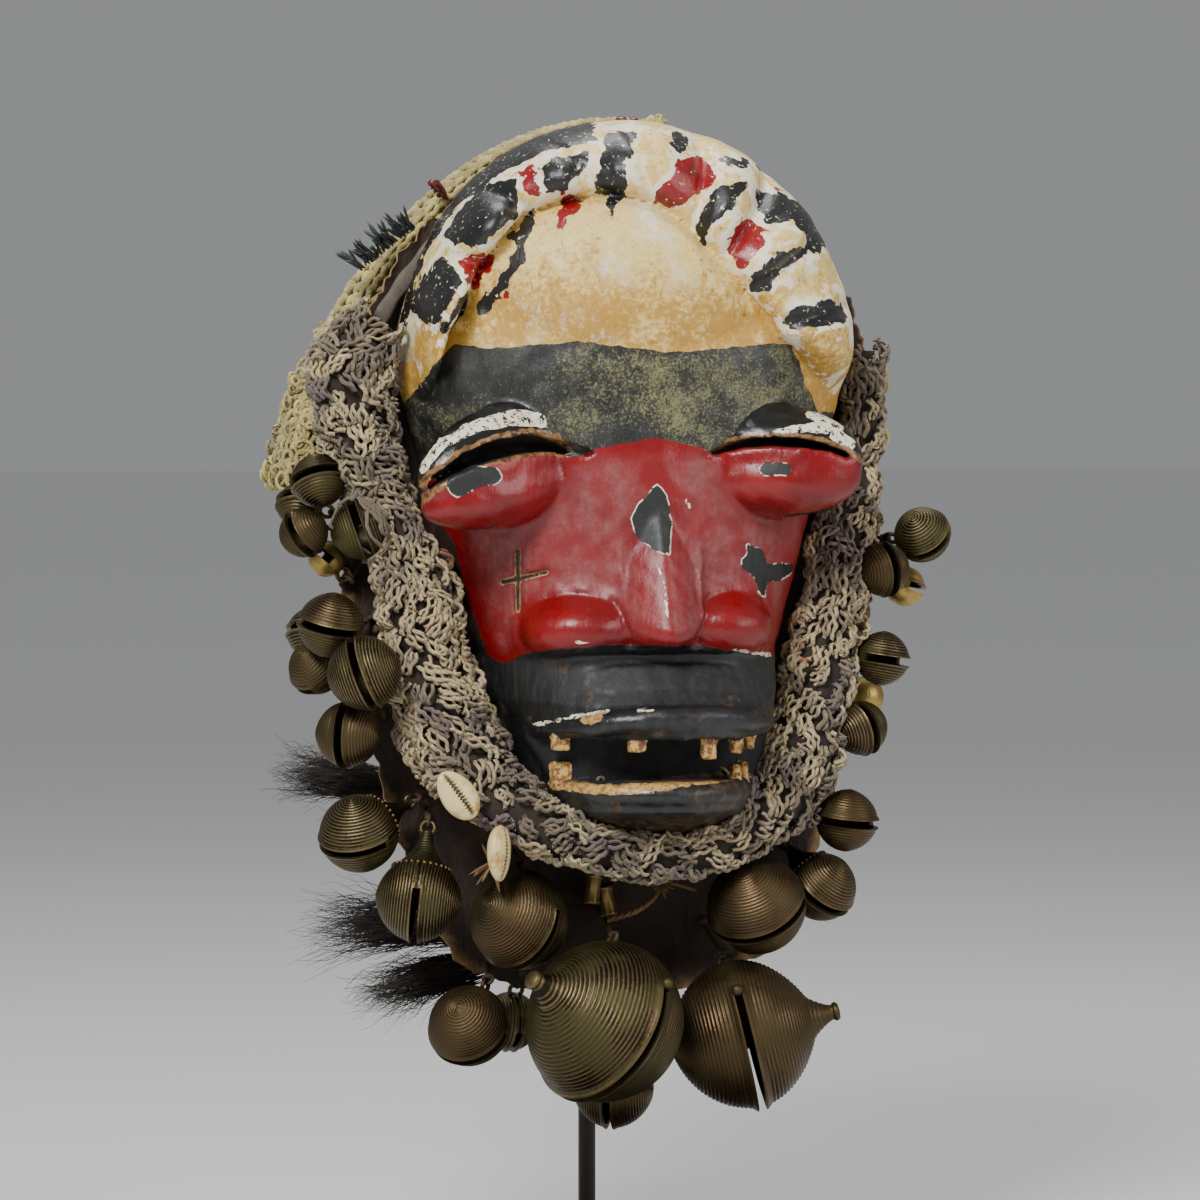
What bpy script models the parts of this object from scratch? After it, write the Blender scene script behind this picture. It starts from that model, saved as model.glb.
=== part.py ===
"""A Guere mask hung with crotal bells, on its display rod and base.

Frame: +Z up, the mask looks along -Y, and the origin is the centre of the base's underside.
The mask, its bells and its trims are laid out in carving units: the mask is 284 units tall, so one unit
is one millimetre on the real piece, and a taller or shorter mask keeps its proportions.
"""

import math
from collections import namedtuple

import bmesh
import bpy
import numpy as np
import openvdb
from mathutils import Matrix, Vector

# Driving sizes, in metres
MASK_HEIGHT = 0.284
UNITS_TALL = 284
UNIT = MASK_HEIGHT / UNITS_TALL
CLEARANCE = 0.0004
SOFT_CLEARANCE = 0.0012

MASK_WALL = 0.010
MASK_SKIN_STEP = 0.003
MASK_FACES = 2100

COLLAR_THICKNESS = 0.0025
THONG_RADIUS = 0.0011
YARN_SKIN_STEP = 0.004
YARN_FACES = 460
HOOD_THICKNESS = 0.011
HOOD_DEPTH = 0.034
HOOD_END_SWELL = 0.008

BELL_WALL = 0.0014
BELL_SLIT = 0.003
BELL_RING_RADIUS = 0.0026
BELL_RING_WIRE = 0.0009
NIPPLE_LENGTH = 0.009

COWRIE_LENGTH = 0.021
COWRIE_WIDTH = 0.0135
COWRIE_HEIGHT = 0.009
COWRIE_SLOT = 0.0016

BASE_WIDTH = 0.180
BASE_LENGTH = 0.170
BASE_HEIGHT = 0.012
BASE_BEVEL = 0.0015
ROD_DIAMETER = 0.007
ROD_SOCKET_DEPTH = 0.008
ROD_BEND_RADIUS = 0.016
ROD_BEHIND_MASK = 0.067
STAY_PAD_WIDTH = 0.024
STAY_PAD_HEIGHT = 0.008
CHIN_ABOVE_BASE = 0.155

MASK_CENTRE_Z = BASE_HEIGHT + CHIN_ABOVE_BASE + MASK_HEIGHT / 2
FACE_PLANE_Y = 0.0

# The mask's main outline, in carving units from its centre
RIM_Y = 20
WIDEST_Z = 45
CROWN_RISE = 92
CHIN_DROP = 187
HALF_WIDTH = 89
SHIELD_DEPTH = 60


def place(x, y, z):
    """A point given in carving units from the mask's centre, in metres in the part's frame."""
    return Vector((x * UNIT, FACE_PLANE_Y + y * UNIT, MASK_CENTRE_Z + z * UNIT))


def clear_scene():
    for obj in list(bpy.data.objects):
        bpy.data.objects.remove(obj)


def material(name, colour, roughness, metallic=0.0):
    """The named Principled material, made the first time it is asked for."""
    made = bpy.data.materials.get(name)
    if made is None:
        made = bpy.data.materials.new(name)
        made.use_nodes = True
        shader = made.node_tree.nodes["Principled BSDF"]
        shader.inputs["Base Color"].default_value = (*colour, 1.0)
        shader.inputs["Roughness"].default_value = roughness
        shader.inputs["Metallic"].default_value = metallic
    return made


def painted_wood():
    return material("painted wood", (0.42, 0.10, 0.07), 0.4)


def bronze():
    return material("dark bronze", (0.16, 0.13, 0.06), 0.35, 0.9)


def hide():
    return material("hide", (0.16, 0.10, 0.06), 0.8)


def grey_yarn():
    return material("grey yarn", (0.36, 0.31, 0.26), 0.95)


def cream_cotton():
    return material("cream cotton", (0.62, 0.53, 0.30), 0.95)


def shell():
    return material("cowrie shell", (0.80, 0.70, 0.45), 0.3)


def fur():
    return material("black fur", (0.02, 0.016, 0.014), 0.9)


def black_steel():
    return material("black steel", (0.03, 0.025, 0.022), 0.45, 0.8)


def add_object(name, mesh, finish):
    obj = bpy.data.objects.new(name, mesh)
    bpy.context.scene.collection.objects.link(obj)
    mesh.materials.append(finish)
    return obj


def object_from_bmesh(name, bm, finish):
    bmesh.ops.recalc_face_normals(bm, faces=bm.faces)
    mesh = bpy.data.meshes.new(name)
    bm.to_mesh(mesh)
    bm.free()
    mesh.shade_smooth()
    mesh.set_sharp_from_angle(angle=math.radians(40))
    return add_object(name, mesh, finish)


def helper(obj):
    """Marks a cutter or a shape that another piece takes in, so that it isn't a piece of its own."""
    obj.hide_render = True
    obj.display_type = "WIRE"
    return obj


def boolean(obj, other, operation):
    cut = obj.modifiers.new(operation.lower(), "BOOLEAN")
    cut.operation = operation
    cut.object = helper(other)
    cut.solver = "EXACT"
    cut.use_self = operation == "UNION"
    return cut


# Implicit forms. Each takes arrays of x, y and z in carving units and is negative inside.


def smooth_min(a, b, blend):
    h = np.clip(0.5 + 0.5 * (b - a) / blend, 0, 1)
    return b + (a - b) * h - blend * h * (1 - h)


def smooth_max(a, b, blend):
    return -smooth_min(-a, -b, blend)


def ellipsoid(x, y, z, centre, semi, tilt=0.0, yaw=0.0):
    """An ellipsoid turned by tilt in the face's plane and by yaw about the vertical, in degrees."""
    x, y, z = x - centre[0], y - centre[1], z - centre[2]
    c, s = math.cos(math.radians(yaw)), math.sin(math.radians(yaw))
    x, y = c * x + s * y, -s * x + c * y
    c, s = math.cos(math.radians(tilt)), math.sin(math.radians(tilt))
    x, z = c * x + s * z, -s * x + c * z
    a, b, h = semi
    near = np.sqrt((x / a) ** 2 + (y / b) ** 2 + (z / h) ** 2)
    slope = np.sqrt((x / a**2) ** 2 + (y / b**2) ** 2 + (z / h**2) ** 2)
    return near * (near - 1) / np.maximum(slope, 1e-6)


def tapered_rod(x, y, z, start, end, start_radius, end_radius):
    start, end = np.array(start, float), np.array(end, float)
    along = end - start
    t = ((x - start[0]) * along[0] + (y - start[1]) * along[1] + (z - start[2]) * along[2]) / (along @ along)
    t = np.clip(t, 0, 1)
    away = np.sqrt(
        (x - start[0] - t * along[0]) ** 2
        + (y - start[1] - t * along[1]) ** 2
        + (z - start[2] - t * along[2]) ** 2
    )
    return away - (start_radius + (end_radius - start_radius) * t)


def block(x, y, z, centre, half, rounding):
    q = [np.abs(v - c) - h + rounding for v, c, h in zip((x, y, z), centre, half)]
    outside = np.sqrt(sum(np.maximum(v, 0) ** 2 for v in q))
    return outside + np.minimum(np.maximum(np.maximum(q[0], q[1]), q[2]), 0) - rounding


def plan_square(x, z, inset=0.0):
    """1 on the mask's outline seen from the front, less inside it. An egg, widest at WIDEST_Z."""
    crown = (z - WIDEST_Z) / (CROWN_RISE - inset)
    chin = np.clip((WIDEST_Z - z) / (CHIN_DROP - inset), 0, None)
    taper = np.where(z > WIDEST_Z, 1.0, np.maximum(1 - 0.55 * chin**0.95, 0.2))
    rise = np.where(z > WIDEST_Z, crown**2, chin**6)
    return (x / ((HALF_WIDTH - inset) * taper)) ** 2 + rise


def shield(x, y, z, inset=0.0):
    """The plain domed shield that the face is carved on."""
    depth = (y - RIM_Y) / (SHIELD_DEPTH - inset)
    return (np.sqrt(plan_square(x, z, inset) + depth**2) - 1) * 50


CREST_FOOT_Z = 57
CREST_TURNS = (-110, -98, -77, -45, -2, 26, 44, 64, 88, 98, 108)
CREST_INNER = (84, 80, 71, 66, 52, 41, 38, 40, 49, 62, 84)
CREST_OUTER = 85
CREST_RISE = 12
CREST_LOBES = 13
FOREHEAD_RISE = 9
FOREHEAD = (-8, 90, 66, 37)


def crest_place(x, z):
    """Where a point is across the crest: -1 at its inner edge, 1 at its outer edge, and its turn in degrees."""
    turn = np.degrees(np.arctan2(x, z - CREST_FOOT_Z))
    inner = np.interp(turn, CREST_TURNS, CREST_INNER)
    reach = np.hypot(x, z - CREST_FOOT_Z)
    middle, half = (CREST_OUTER + inner) / 2, (CREST_OUTER - inner) / 2
    return (reach - middle) / half, turn


def brow_rise(x, z):
    """How far the crest and the domed forehead stand over the plain shield."""
    across, turn = crest_place(x, z)
    lobe = 1 + 0.14 * np.cos(np.radians(turn) * CREST_LOBES)
    ends = np.clip((104 - np.abs(turn + 1)) / 9, 0, 1)
    crest = CREST_RISE * lobe * ends * np.sqrt(np.clip(1 - across**2, 0, 1))
    cx, cz, wide, tall = FOREHEAD
    bump = np.clip(1 - ((x - cx) / wide) ** 2 - ((z - cz) / tall) ** 2, 0, 1)
    dome = FOREHEAD_RISE * np.sqrt(bump) * np.clip((-1 - across) / 0.12, 0, 1)
    return np.maximum(crest, dome)


Eye = namedtuple("Eye", "x y z half_length half_height tilt yaw lid_rise slit")
LEFT_EYE = Eye(-56.5, -25, 2, 38, 13, 12, 27, 8.5, 7)
RIGHT_EYE = Eye(45.5, -27, 5, 35, 13.5, -1, -24, 7, 3.5)


def eye_upper_lid(x, y, z, eye):
    semi = (eye.half_length + 1.5, 17, eye.half_height + eye.lid_rise + 1)
    return ellipsoid(x, y, z, (eye.x, eye.y, eye.z + eye.lid_rise), semi, eye.tilt, eye.yaw)


def eye_lower_lid(x, y, z, eye):
    semi = (eye.half_length, 18, eye.half_height)
    return ellipsoid(x, y, z, (eye.x, eye.y, eye.z), semi, eye.tilt, eye.yaw)


def eye_slit(x, y, z, eye):
    """The curved gap over the lower lid, cut right through the wall."""
    lean = math.radians(eye.tilt)
    u = (x - eye.x) * math.cos(lean) + (z - eye.z) * math.sin(lean)
    v = -(x - eye.x) * math.sin(lean) + (z - eye.z) * math.cos(lean)
    low = np.sqrt((u / eye.half_length) ** 2 + (v / (eye.half_height - 1)) ** 2)
    high = np.sqrt((u / (eye.half_length - 2)) ** 2 + (v / (eye.half_height - 1 + eye.slit)) ** 2)
    gap = np.maximum((high - 1) * eye.half_height, (1 - low) * eye.half_height)
    return np.maximum(gap, 2 - v)


def nose(x, y, z):
    ridge = tapered_rod(x, y, z, (0, -19, 30), (0.5, -42, -45), 8, 15)
    left_wing = ellipsoid(x, y, z, (-27, -26, -51), (22, 21, 13.5))
    right_wing = ellipsoid(x, y, z, (26, -26, -50), (21, 21, 13.5))
    body = smooth_min(smooth_min(ridge, left_wing, 5), right_wing, 5)
    underside = -57 - 0.0022 * x**2
    return smooth_max(body, underside - z, 3)


MUZZLE_X = 2.5
MUZZLE_LEVELS = (-142, -127, -122, -119, -107, -91, -86, -75, -64, -56)
MUZZLE_REACH = (28, 34, 44, 56, 57, 61, 65, 54, 46, 43)
MUZZLE_HALF_WIDTH = (30, 37, 39, 41, 43, 49, 50, 53, 53, 50)
MOUTH_Z = -99
MOUTH_HALF_HEIGHT = 8
MOUTH_BACK_Y = -32
MOUTH_CORNER_Y = -15


def muzzle(x, y, z):
    """Lips and chin: a half ellipse in plan whose reach and width follow the height."""
    reach = np.interp(z, MUZZLE_LEVELS, MUZZLE_REACH)
    width = np.interp(z, MUZZLE_LEVELS, MUZZLE_HALF_WIDTH)
    plan = (np.sqrt(((x - MUZZLE_X) / width) ** 2 + ((y - 2) / reach) ** 2) - 1) * 45
    top = MUZZLE_LEVELS[-1]
    bottom = MUZZLE_LEVELS[1] - 6
    return smooth_max(smooth_max(plan, z - top, 4), bottom - z, 5)


def mouth(x, y, z):
    """The open mouth, a blind recess that runs shallower towards its corners."""
    slot = block(x, y, z, (MUZZLE_X, -60, MOUTH_Z), (80, 60, MOUTH_HALF_HEIGHT), 3)
    back = MOUTH_BACK_Y + (MOUTH_CORNER_Y - MOUTH_BACK_Y) * np.abs((x - MUZZLE_X) / 46) ** 3
    return np.maximum(slot, y - back)


Tooth = namedtuple("Tooth", "x jaw half_width tall")
TOOTH_SETBACK = 5
TOOTH_SINK = 3
TEETH = (
    Tooth(-36, 1, 3.5, 5),
    Tooth(-12, 1, 3.2, 4.5),
    Tooth(15, 1, 2.8, 7.5),
    Tooth(28, 1, 2.2, 6),
    Tooth(35, 1, 1.8, 5),
    Tooth(-34, -1, 3.4, 6),
    Tooth(30, -1, 1.8, 6),
    Tooth(35, -1, 1.6, 6),
)


def muzzle_front(x, level):
    """Where the muzzle's surface is at x and height level."""
    reach = np.interp(level, MUZZLE_LEVELS, MUZZLE_REACH)
    width = np.interp(level, MUZZLE_LEVELS, MUZZLE_HALF_WIDTH)
    return 2 - reach * math.sqrt(max(1 - ((x - MUZZLE_X) / width) ** 2, 0.0))


def teeth(x, y, z):
    """The few carved teeth that are left, each rooted in the lip above or below the mouth."""
    made = []
    for tooth in TEETH:
        edge = MOUTH_Z + tooth.jaw * MOUTH_HALF_HEIGHT
        middle = edge + tooth.jaw * (TOOTH_SINK - tooth.tall) / 2
        centre = (tooth.x, muzzle_front(tooth.x, edge) + TOOTH_SETBACK, middle)
        half = (tooth.half_width, 3, (tooth.tall + TOOTH_SINK) / 2)
        made.append(block(x, y, z, centre, half, 0.8))
    return np.minimum.reduce(made)


def mask_form(x, y, z):
    """The whole carved mask, with its hollow back, eye slits and open mouth."""
    form = shield(x, y, z) - brow_rise(x, z)
    form = smooth_min(form, nose(x, y, z), 9)
    form = smooth_min(form, muzzle(x, y, z), 4)
    for eye in (LEFT_EYE, RIGHT_EYE):
        form = smooth_min(form, eye_upper_lid(x, y, z, eye), 2.5)
    hollow = shield(x, y, z, MASK_WALL / UNIT)
    form = np.maximum(form, -hollow)
    for eye in (LEFT_EYE, RIGHT_EYE):
        form = np.maximum(form, -eye_slit(x, y, z, eye))
        lid = np.maximum(eye_lower_lid(x, y, z, eye), -hollow)
        form = smooth_min(form, lid, 2)
    form = np.maximum(form, -mouth(x, y, z))
    form = np.minimum(form, np.maximum(teeth(x, y, z), -hollow))
    return np.maximum(form, y - RIM_Y)


def skinned(name, form, low, high, step, faces, finish):
    """Samples an implicit form on a grid, skins it and thins the skin to about so many triangles."""
    step = step / UNIT
    axes = [np.arange(a, b + step, step) for a, b in zip(low, high)]
    x, y, z = np.meshgrid(*axes, indexing="ij", sparse=True)
    values = form(x + 0 * y + 0 * z, y + 0 * x + 0 * z, z + 0 * x + 0 * y)
    grid = openvdb.FloatGrid(background=2 * step)
    grid.copyFromArray(np.ascontiguousarray(values, np.float32))
    points, quads = grid.convertToQuads(0.0)
    mesh = bpy.data.meshes.new(name)
    spots = [place(*(low[k] + p[k] * step for k in range(3))) for p in points.astype(float)]
    mesh.from_pydata(spots, [], quads.tolist())
    obj = add_object(name, mesh, finish)
    bm = bmesh.new()
    bm.from_mesh(mesh)
    bmesh.ops.recalc_face_normals(bm, faces=bm.faces)
    bm.to_mesh(mesh)
    bm.free()
    thin = obj.modifiers.new("thin", "DECIMATE")
    thin.ratio = min(1.0, faces / (2 * len(quads)))
    thin.use_collapse_triangulate = True
    return obj


def build_mask():
    low, high = (-96, -72, -148), (96, RIM_Y + 5, 148)
    return skinned("mask", mask_form, low, high, MASK_SKIN_STEP, MASK_FACES, painted_wood())


# Bells. x, y and z are the middle of the body and radius its size, in carving units. top points from the
# body to the ring, and wind is the axis that the ridges run round, square to the slit.
Bell = namedtuple("Bell", "name x y z radius top wind anchor kind")
BELLS = (
    Bell("left_upper_bell_1", -120.3, 6, 4.6, 10.4, (0.5, 0.7, -0.3), (-0.34, 0.1, 0.94), (-97, 2), "round"),
    Bell("left_upper_bell_2", -122.5, 30, -4.9, 8.8, (0.9, -0.1, -0.2), (0.2, 0.5, 0.8), (-97, -6), "round"),
    Bell("left_upper_bell_3", -126.8, 2, -14.8, 9.4, (0.45, 0.85, 0.2), (0.3, -0.9, 0.3), (-97, -14), "round"),
    Bell("left_upper_bell_4", -105.2, 1, -13.6, 11.5, (0.2, 0.95, 0.1), (0.93, -0.1, 0.35), (-95, -14), "round"),
    Bell("left_upper_bell_5", -115.4, 14, -24.9, 7.2, (0.75, 0.1, -0.65), (0.3, 0.1, -0.9), (-96, -20), "plain"),
    Bell("left_middle_bell_1", -116.9, 0, -49.4, 12.4, (0.7, 0.6, 0.0), (0.1, -0.25, 0.97), (-95, -46), "round"),
    Bell("left_middle_bell_2", -115.7, 39, -53.9, 10.0, (0.7, -0.6, 0.1), (0.2, 0.3, 0.9), (-95, -52), "round"),
    Bell("left_middle_bell_3", -119.0, 16.5, -65.8, 10.6, (0.7, -0.7, 0.2), (-0.4, -0.6, 0.5), (-95, -62), "round"),
    Bell("left_middle_bell_4", -108.2, -19, -66.5, 14.0, (0.3, 0.9, 0.2), (0.74, -0.6, 0.26), (-93, -64), "round"),
    Bell("left_middle_bell_5", -110.8, -2, -90.3, 12.4, (0.5, 0.8, 0.3), (0.57, -0.8, -0.17), (-92, -84), "round"),
    Bell("beard_bell_1", -106.7, -2, -127.6, 15.0, (0.83, 0.35, 0.42), (-0.3, -0.4, 0.87), (-78, -114), "conical"),
    Bell("beard_bell_2", -85.2, -8, -152.3, 16.2, (0.2, 0.3, 0.93), (0.93, -0.3, -0.1), (-76, -118), "conical"),
    Bell("beard_bell_3", -45.2, -4, -161.5, 19.0, (0.15, 0.45, 0.88), (-0.72, -0.4, 0.5), (-42, -136), "round"),
    Bell("beard_bell_4", -63.8, 0, -201.4, 15.5, (0.45, 0.35, 0.82), (-0.4, -0.6, 0.6), (-52, -176), "round"),
    Bell("beard_bell_5", -38.8, 36, -204.4, 11.5, (0.1, -0.3, 0.95), (1.0, 0.1, 0.0), (-38, -184), "round"),
    Bell("beard_bell_6", -18.4, -26, -198.0, 30.8, (0.25, 0.5, 0.83), (-0.8, -0.35, 0.5), (-6, -160), "horned"),
    Bell("beard_bell_7", 41.5, -11, -206.3, 28.4, (-0.1, 0.5, 0.86), (0.93, -0.3, 0.05), (34, -166), "horned"),
    Bell("beard_bell_8", -2.6, 18, -229.0, 15.8, (0.1, 0.1, 0.99), (0.9, -0.4, 0.1), (-2, -186), "round"),
    Bell("beard_bell_9", 45.4, -14, -157.3, 19.0, (0.3, 0.7, 0.6), (-0.5, -0.6, 0.6), (54, -136), "round"),
    Bell("beard_bell_10", 75.7, 0, -152.0, 13.4, (-0.5, 0.5, 0.7), (0.4, -0.5, 0.6), (62, -128), "conical"),
    Bell("beard_bell_11", 83.4, -7, -126.0, 12.0, (-0.2, 0.97, 0.1), (0.1, -0.15, 0.95), (78, -122), "round"),
    Bell("right_upper_bell_1", 118.0, 6, -17.0, 11.0, (-0.7, 0.6, -0.1), (0.1, -0.8, 0.5), (97, -16), "round"),
    Bell("right_upper_bell_2", 99.9, -1, -30.0, 10.4, (-0.2, 0.95, 0.1), (0.9, -0.3, 0.1), (94, -28), "round"),
    Bell("right_upper_bell_3", 113.3, 13, -37.2, 8.0, (-0.9, 0.1, 0.3), (0.3, 0.1, 0.9), (97, -32), "plain"),
    Bell("right_lower_bell_1", 101.2, 4, -64.6, 10.6, (-0.5, 0.8, 0.1), (0.5, -0.7, 0.4), (90, -62), "round"),
    Bell("right_lower_bell_2", 103.5, 34, -80.9, 8.0, (-0.8, -0.4, 0.3), (0.3, -0.8, 0.3), (88, -74), "plain"),
    Bell("right_lower_bell_3", 91.2, 0, -91.0, 10.6, (-0.3, 0.9, 0.2), (0.9, -0.4, 0.1), (84, -86), "round"),
)
BIG_BELL = 22
Shape = namedtuple("Shape", "sides open_sides outer_rings inner_rings")
SMALL_SHAPE = Shape(8, 4, 2, 2)
BIG_SHAPE = Shape(14, 8, 3, 2)


def bell_axes(bell):
    """Unit vectors of a bell: wind, front and top, square to each other."""
    top = Vector(bell.top).normalized()
    wind = Vector(bell.wind)
    wind = (wind - top * wind.dot(top)).normalized()
    return wind, top.cross(wind), top


def bell_half_profile(radius, half_slit, rings):
    """(along, out) points of one half of the body, from beside the slit to just short of its pole."""
    start = math.asin(half_slit / radius)
    turns = [start + (math.pi / 2 - start) * k / rings for k in range(rings)]
    return [(radius * math.sin(t), radius * math.cos(t)) for t in turns]


def bell_body(bell):
    """The hollow body: two thin bowls side by side, joined round the top and parted below by the slit."""
    shape = BIG_SHAPE if bell.radius > BIG_BELL else SMALL_SHAPE
    middle = place(bell.x, bell.y, bell.z)
    wind, front, top = bell_axes(bell)
    radius, n, open_sides = bell.radius * UNIT, shape.sides, shape.open_sides
    half_slit = BELL_SLIT / 2
    bm = bmesh.new()

    def ring(side, along, out):
        """A ring of corners round the wind axis. Corner 0 starts the slit, which then runs under the body."""
        corners = []
        for k in range(n):
            angle = math.pi * (1.5 - open_sides / n) + 2 * math.pi * k / n
            spoke = front * math.cos(angle) + top * math.sin(angle)
            corners.append(bm.verts.new(middle + wind * (side * along) + spoke * out))
        return corners

    def bowl(side, size, rings):
        profile = bell_half_profile(size, half_slit, rings)
        made = [ring(side, along, out) for along, out in profile]
        pole = bm.verts.new(middle + wind * (side * size))
        for inner, outer in zip(made[1:], made):
            for k in range(n):
                bm.faces.new((outer[k], outer[(k + 1) % n], inner[(k + 1) % n], inner[k]))
        for k in range(n):
            bm.faces.new((made[-1][k], made[-1][(k + 1) % n], pole))
        return made[0]

    outer = {side: bowl(side, radius, shape.outer_rings) for side in (-1, 1)}
    inner = {side: bowl(side, radius - BELL_WALL, shape.inner_rings) for side in (-1, 1)}
    for k in range(n):
        j = (k + 1) % n
        if k < open_sides:
            for side in (-1, 1):
                bm.faces.new((outer[side][k], outer[side][j], inner[side][j], inner[side][k]))
        else:
            bm.faces.new((outer[-1][k], outer[-1][j], outer[1][j], outer[1][k]))
            bm.faces.new((inner[-1][k], inner[-1][j], inner[1][j], inner[1][k]))
    for k in (0, open_sides):
        bm.faces.new((outer[-1][k], outer[1][k], inner[1][k], inner[-1][k]))
    return object_from_bmesh(bell.name, bm, bronze())


def turned(name, start, axis, profile, sides, finish):
    """A closed turned solid. profile is (along, out) from start along axis; both ends get a cap."""
    axis = axis.normalized()
    across = axis.orthogonal().normalized()
    other = axis.cross(across)
    bm = bmesh.new()
    rings = []
    for along, out in profile:
        spokes = [2 * math.pi * k / sides for k in range(sides)]
        rings.append(
            [bm.verts.new(start + axis * along + (across * math.cos(a) + other * math.sin(a)) * out) for a in spokes]
        )
    for low, high in zip(rings, rings[1:]):
        for k in range(sides):
            bm.faces.new((low[k], low[(k + 1) % sides], high[(k + 1) % sides], high[k]))
    bm.faces.new(rings[0][::-1])
    bm.faces.new(rings[-1])
    return object_from_bmesh(name, bm, finish)


def bell_neck_length(bell):
    """How far the conical bells' neck stands above the round body, in metres."""
    return bell.radius * UNIT * 0.62 if bell.kind == "conical" else 0.0


def ring_centre(bell):
    top = bell_axes(bell)[2]
    reach = bell.radius * UNIT + bell_neck_length(bell) + BELL_RING_RADIUS - BELL_RING_WIRE
    return place(bell.x, bell.y, bell.z) + top * reach


def ring_end(bell):
    """The outermost point of a bell's ring, where its thong is tied."""
    return ring_centre(bell) + bell_axes(bell)[2] * (BELL_RING_RADIUS + BELL_RING_WIRE)


def bell_ring(bell):
    """A small cast loop standing on the body, in the plane of the top and wind axes."""
    wind, front, top = bell_axes(bell)
    sides, wires = 6, 3
    bm = bmesh.new()
    rows = []
    for i in range(sides):
        turn = 2 * math.pi * i / sides
        spoke = top * math.cos(turn) + wind * math.sin(turn)
        row = []
        for k in range(wires):
            around = 2 * math.pi * (k + 0.5) / wires
            out = spoke * (BELL_RING_RADIUS + BELL_RING_WIRE * math.cos(around))
            row.append(bm.verts.new(ring_centre(bell) + out + front * (BELL_RING_WIRE * math.sin(around))))
        rows.append(row)
    for i in range(sides):
        for k in range(wires):
            a, b = rows[i], rows[(i + 1) % sides]
            j = (k + 1) % wires
            bm.faces.new((a[k], a[j], b[j], b[k]))
    return object_from_bmesh(bell.name + ".ring", bm, bronze())


def bell_cone(bell):
    """The concave neck of a conical bell, rising from the body's top."""
    top = bell_axes(bell)[2]
    radius, neck = bell.radius * UNIT, bell_neck_length(bell)
    sink = 0.78
    start = place(bell.x, bell.y, bell.z) + top * (radius * sink)
    tall = radius * (1 - sink) + neck
    profile = [(0.0, radius * 0.48), (tall * 0.45, radius * 0.27), (tall, radius * 0.13)]
    return turned(bell.name + ".cone", start, top, profile, 8, bronze())


def bell_nipple(bell):
    """The pointed end of a horned bell, on its winding pole."""
    wind = bell_axes(bell)[0]
    radius = bell.radius * UNIT
    start = place(bell.x, bell.y, bell.z) + wind * (radius * 0.86)
    tall = radius * 0.14 + NIPPLE_LENGTH
    shape = ((0.0, 0.49), (0.22, 0.37), (0.5, 0.22), (1.0, 0.11))
    profile = [(tall * along, radius * out) for along, out in shape]
    return turned(bell.name + ".nipple", start, wind, profile, 8, bronze())


def build_bells():
    for bell in BELLS:
        body = bell_body(bell)
        boolean(body, bell_ring(bell), "UNION")
        extra = {"conical": bell_cone, "horned": bell_nipple}.get(bell.kind)
        if extra:
            boolean(body, extra(bell), "UNION")


# The hide collar and what is tied to it
COLLAR_ANGLES = (35, 60, 90, 115, 132, 146, 160, 170, 180)
COLLAR_WIDTH_LEFT = (5, 14, 32, 44, 49, 62, 74, 62, 50)
COLLAR_WIDTH_RIGHT = (5, 12, 28, 38, 44, 56, 72, 60, 50)
COLLAR_STATIONS = 27
COLLAR_LAP = 6


def collar_y():
    """The middle of the hide's thickness, just behind the mask's rim, in metres from the face plane."""
    return RIM_Y * UNIT + CLEARANCE + COLLAR_THICKNESS / 2


def outline_reach(angle):
    """How far the mask's outline is from its centre, in units, angle degrees round from straight up."""
    sx, sz = math.sin(math.radians(angle)), math.cos(math.radians(angle))
    reach = np.linspace(20, 160, 1401)
    inside = plan_square(reach * sx, reach * sz) < 1
    return float(reach[inside].max())


def collar_plate():
    """The hide, a flat U round the mask from temple to temple that widens into a beard below the chin."""
    y = FACE_PLANE_Y + collar_y()
    bm = bmesh.new()
    rows = []
    for i in range(COLLAR_STATIONS):
        angle = -COLLAR_ANGLES[0] - (360 - 2 * COLLAR_ANGLES[0]) * i / (COLLAR_STATIONS - 1)
        from_top = abs((angle + 180) % 360 - 180)
        widths = COLLAR_WIDTH_LEFT if angle > -180 else COLLAR_WIDTH_RIGHT
        width = float(np.interp(from_top, COLLAR_ANGLES, widths))
        reach = outline_reach(angle)
        sx, sz = math.sin(math.radians(angle)), math.cos(math.radians(angle))
        row = []
        for out in (reach - COLLAR_LAP, reach + width):
            spot = place(sx * out, 0, sz * out)
            spot.y = y
            row.append(bm.verts.new(spot))
        rows.append(row)
    for a, b in zip(rows, rows[1:]):
        bm.faces.new((a[0], a[1], b[1], b[0]))
    bmesh.ops.recalc_face_normals(bm, faces=bm.faces)
    thick = bmesh.ops.extrude_face_region(bm, geom=bm.faces[:])
    lifted = [v for v in thick["geom"] if isinstance(v, bmesh.types.BMVert)]
    bmesh.ops.translate(bm, verts=lifted, vec=(0, COLLAR_THICKNESS, 0))
    bmesh.ops.translate(bm, verts=bm.verts, vec=(0, -COLLAR_THICKNESS / 2, 0))
    return object_from_bmesh("hide_collar", bm, hide())


def thong_ends(bell):
    """Where a bell's thong leaves the hide and where it meets the bell's ring."""
    root = place(bell.anchor[0], 0, bell.anchor[1])
    root.y = FACE_PLANE_Y + collar_y()
    top = bell_axes(bell)[2]
    tip = ring_end(bell) + top * CLEARANCE
    along = (tip - root).normalized()
    return root, tip - along * (THONG_RADIUS * along.cross(top).length)


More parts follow.
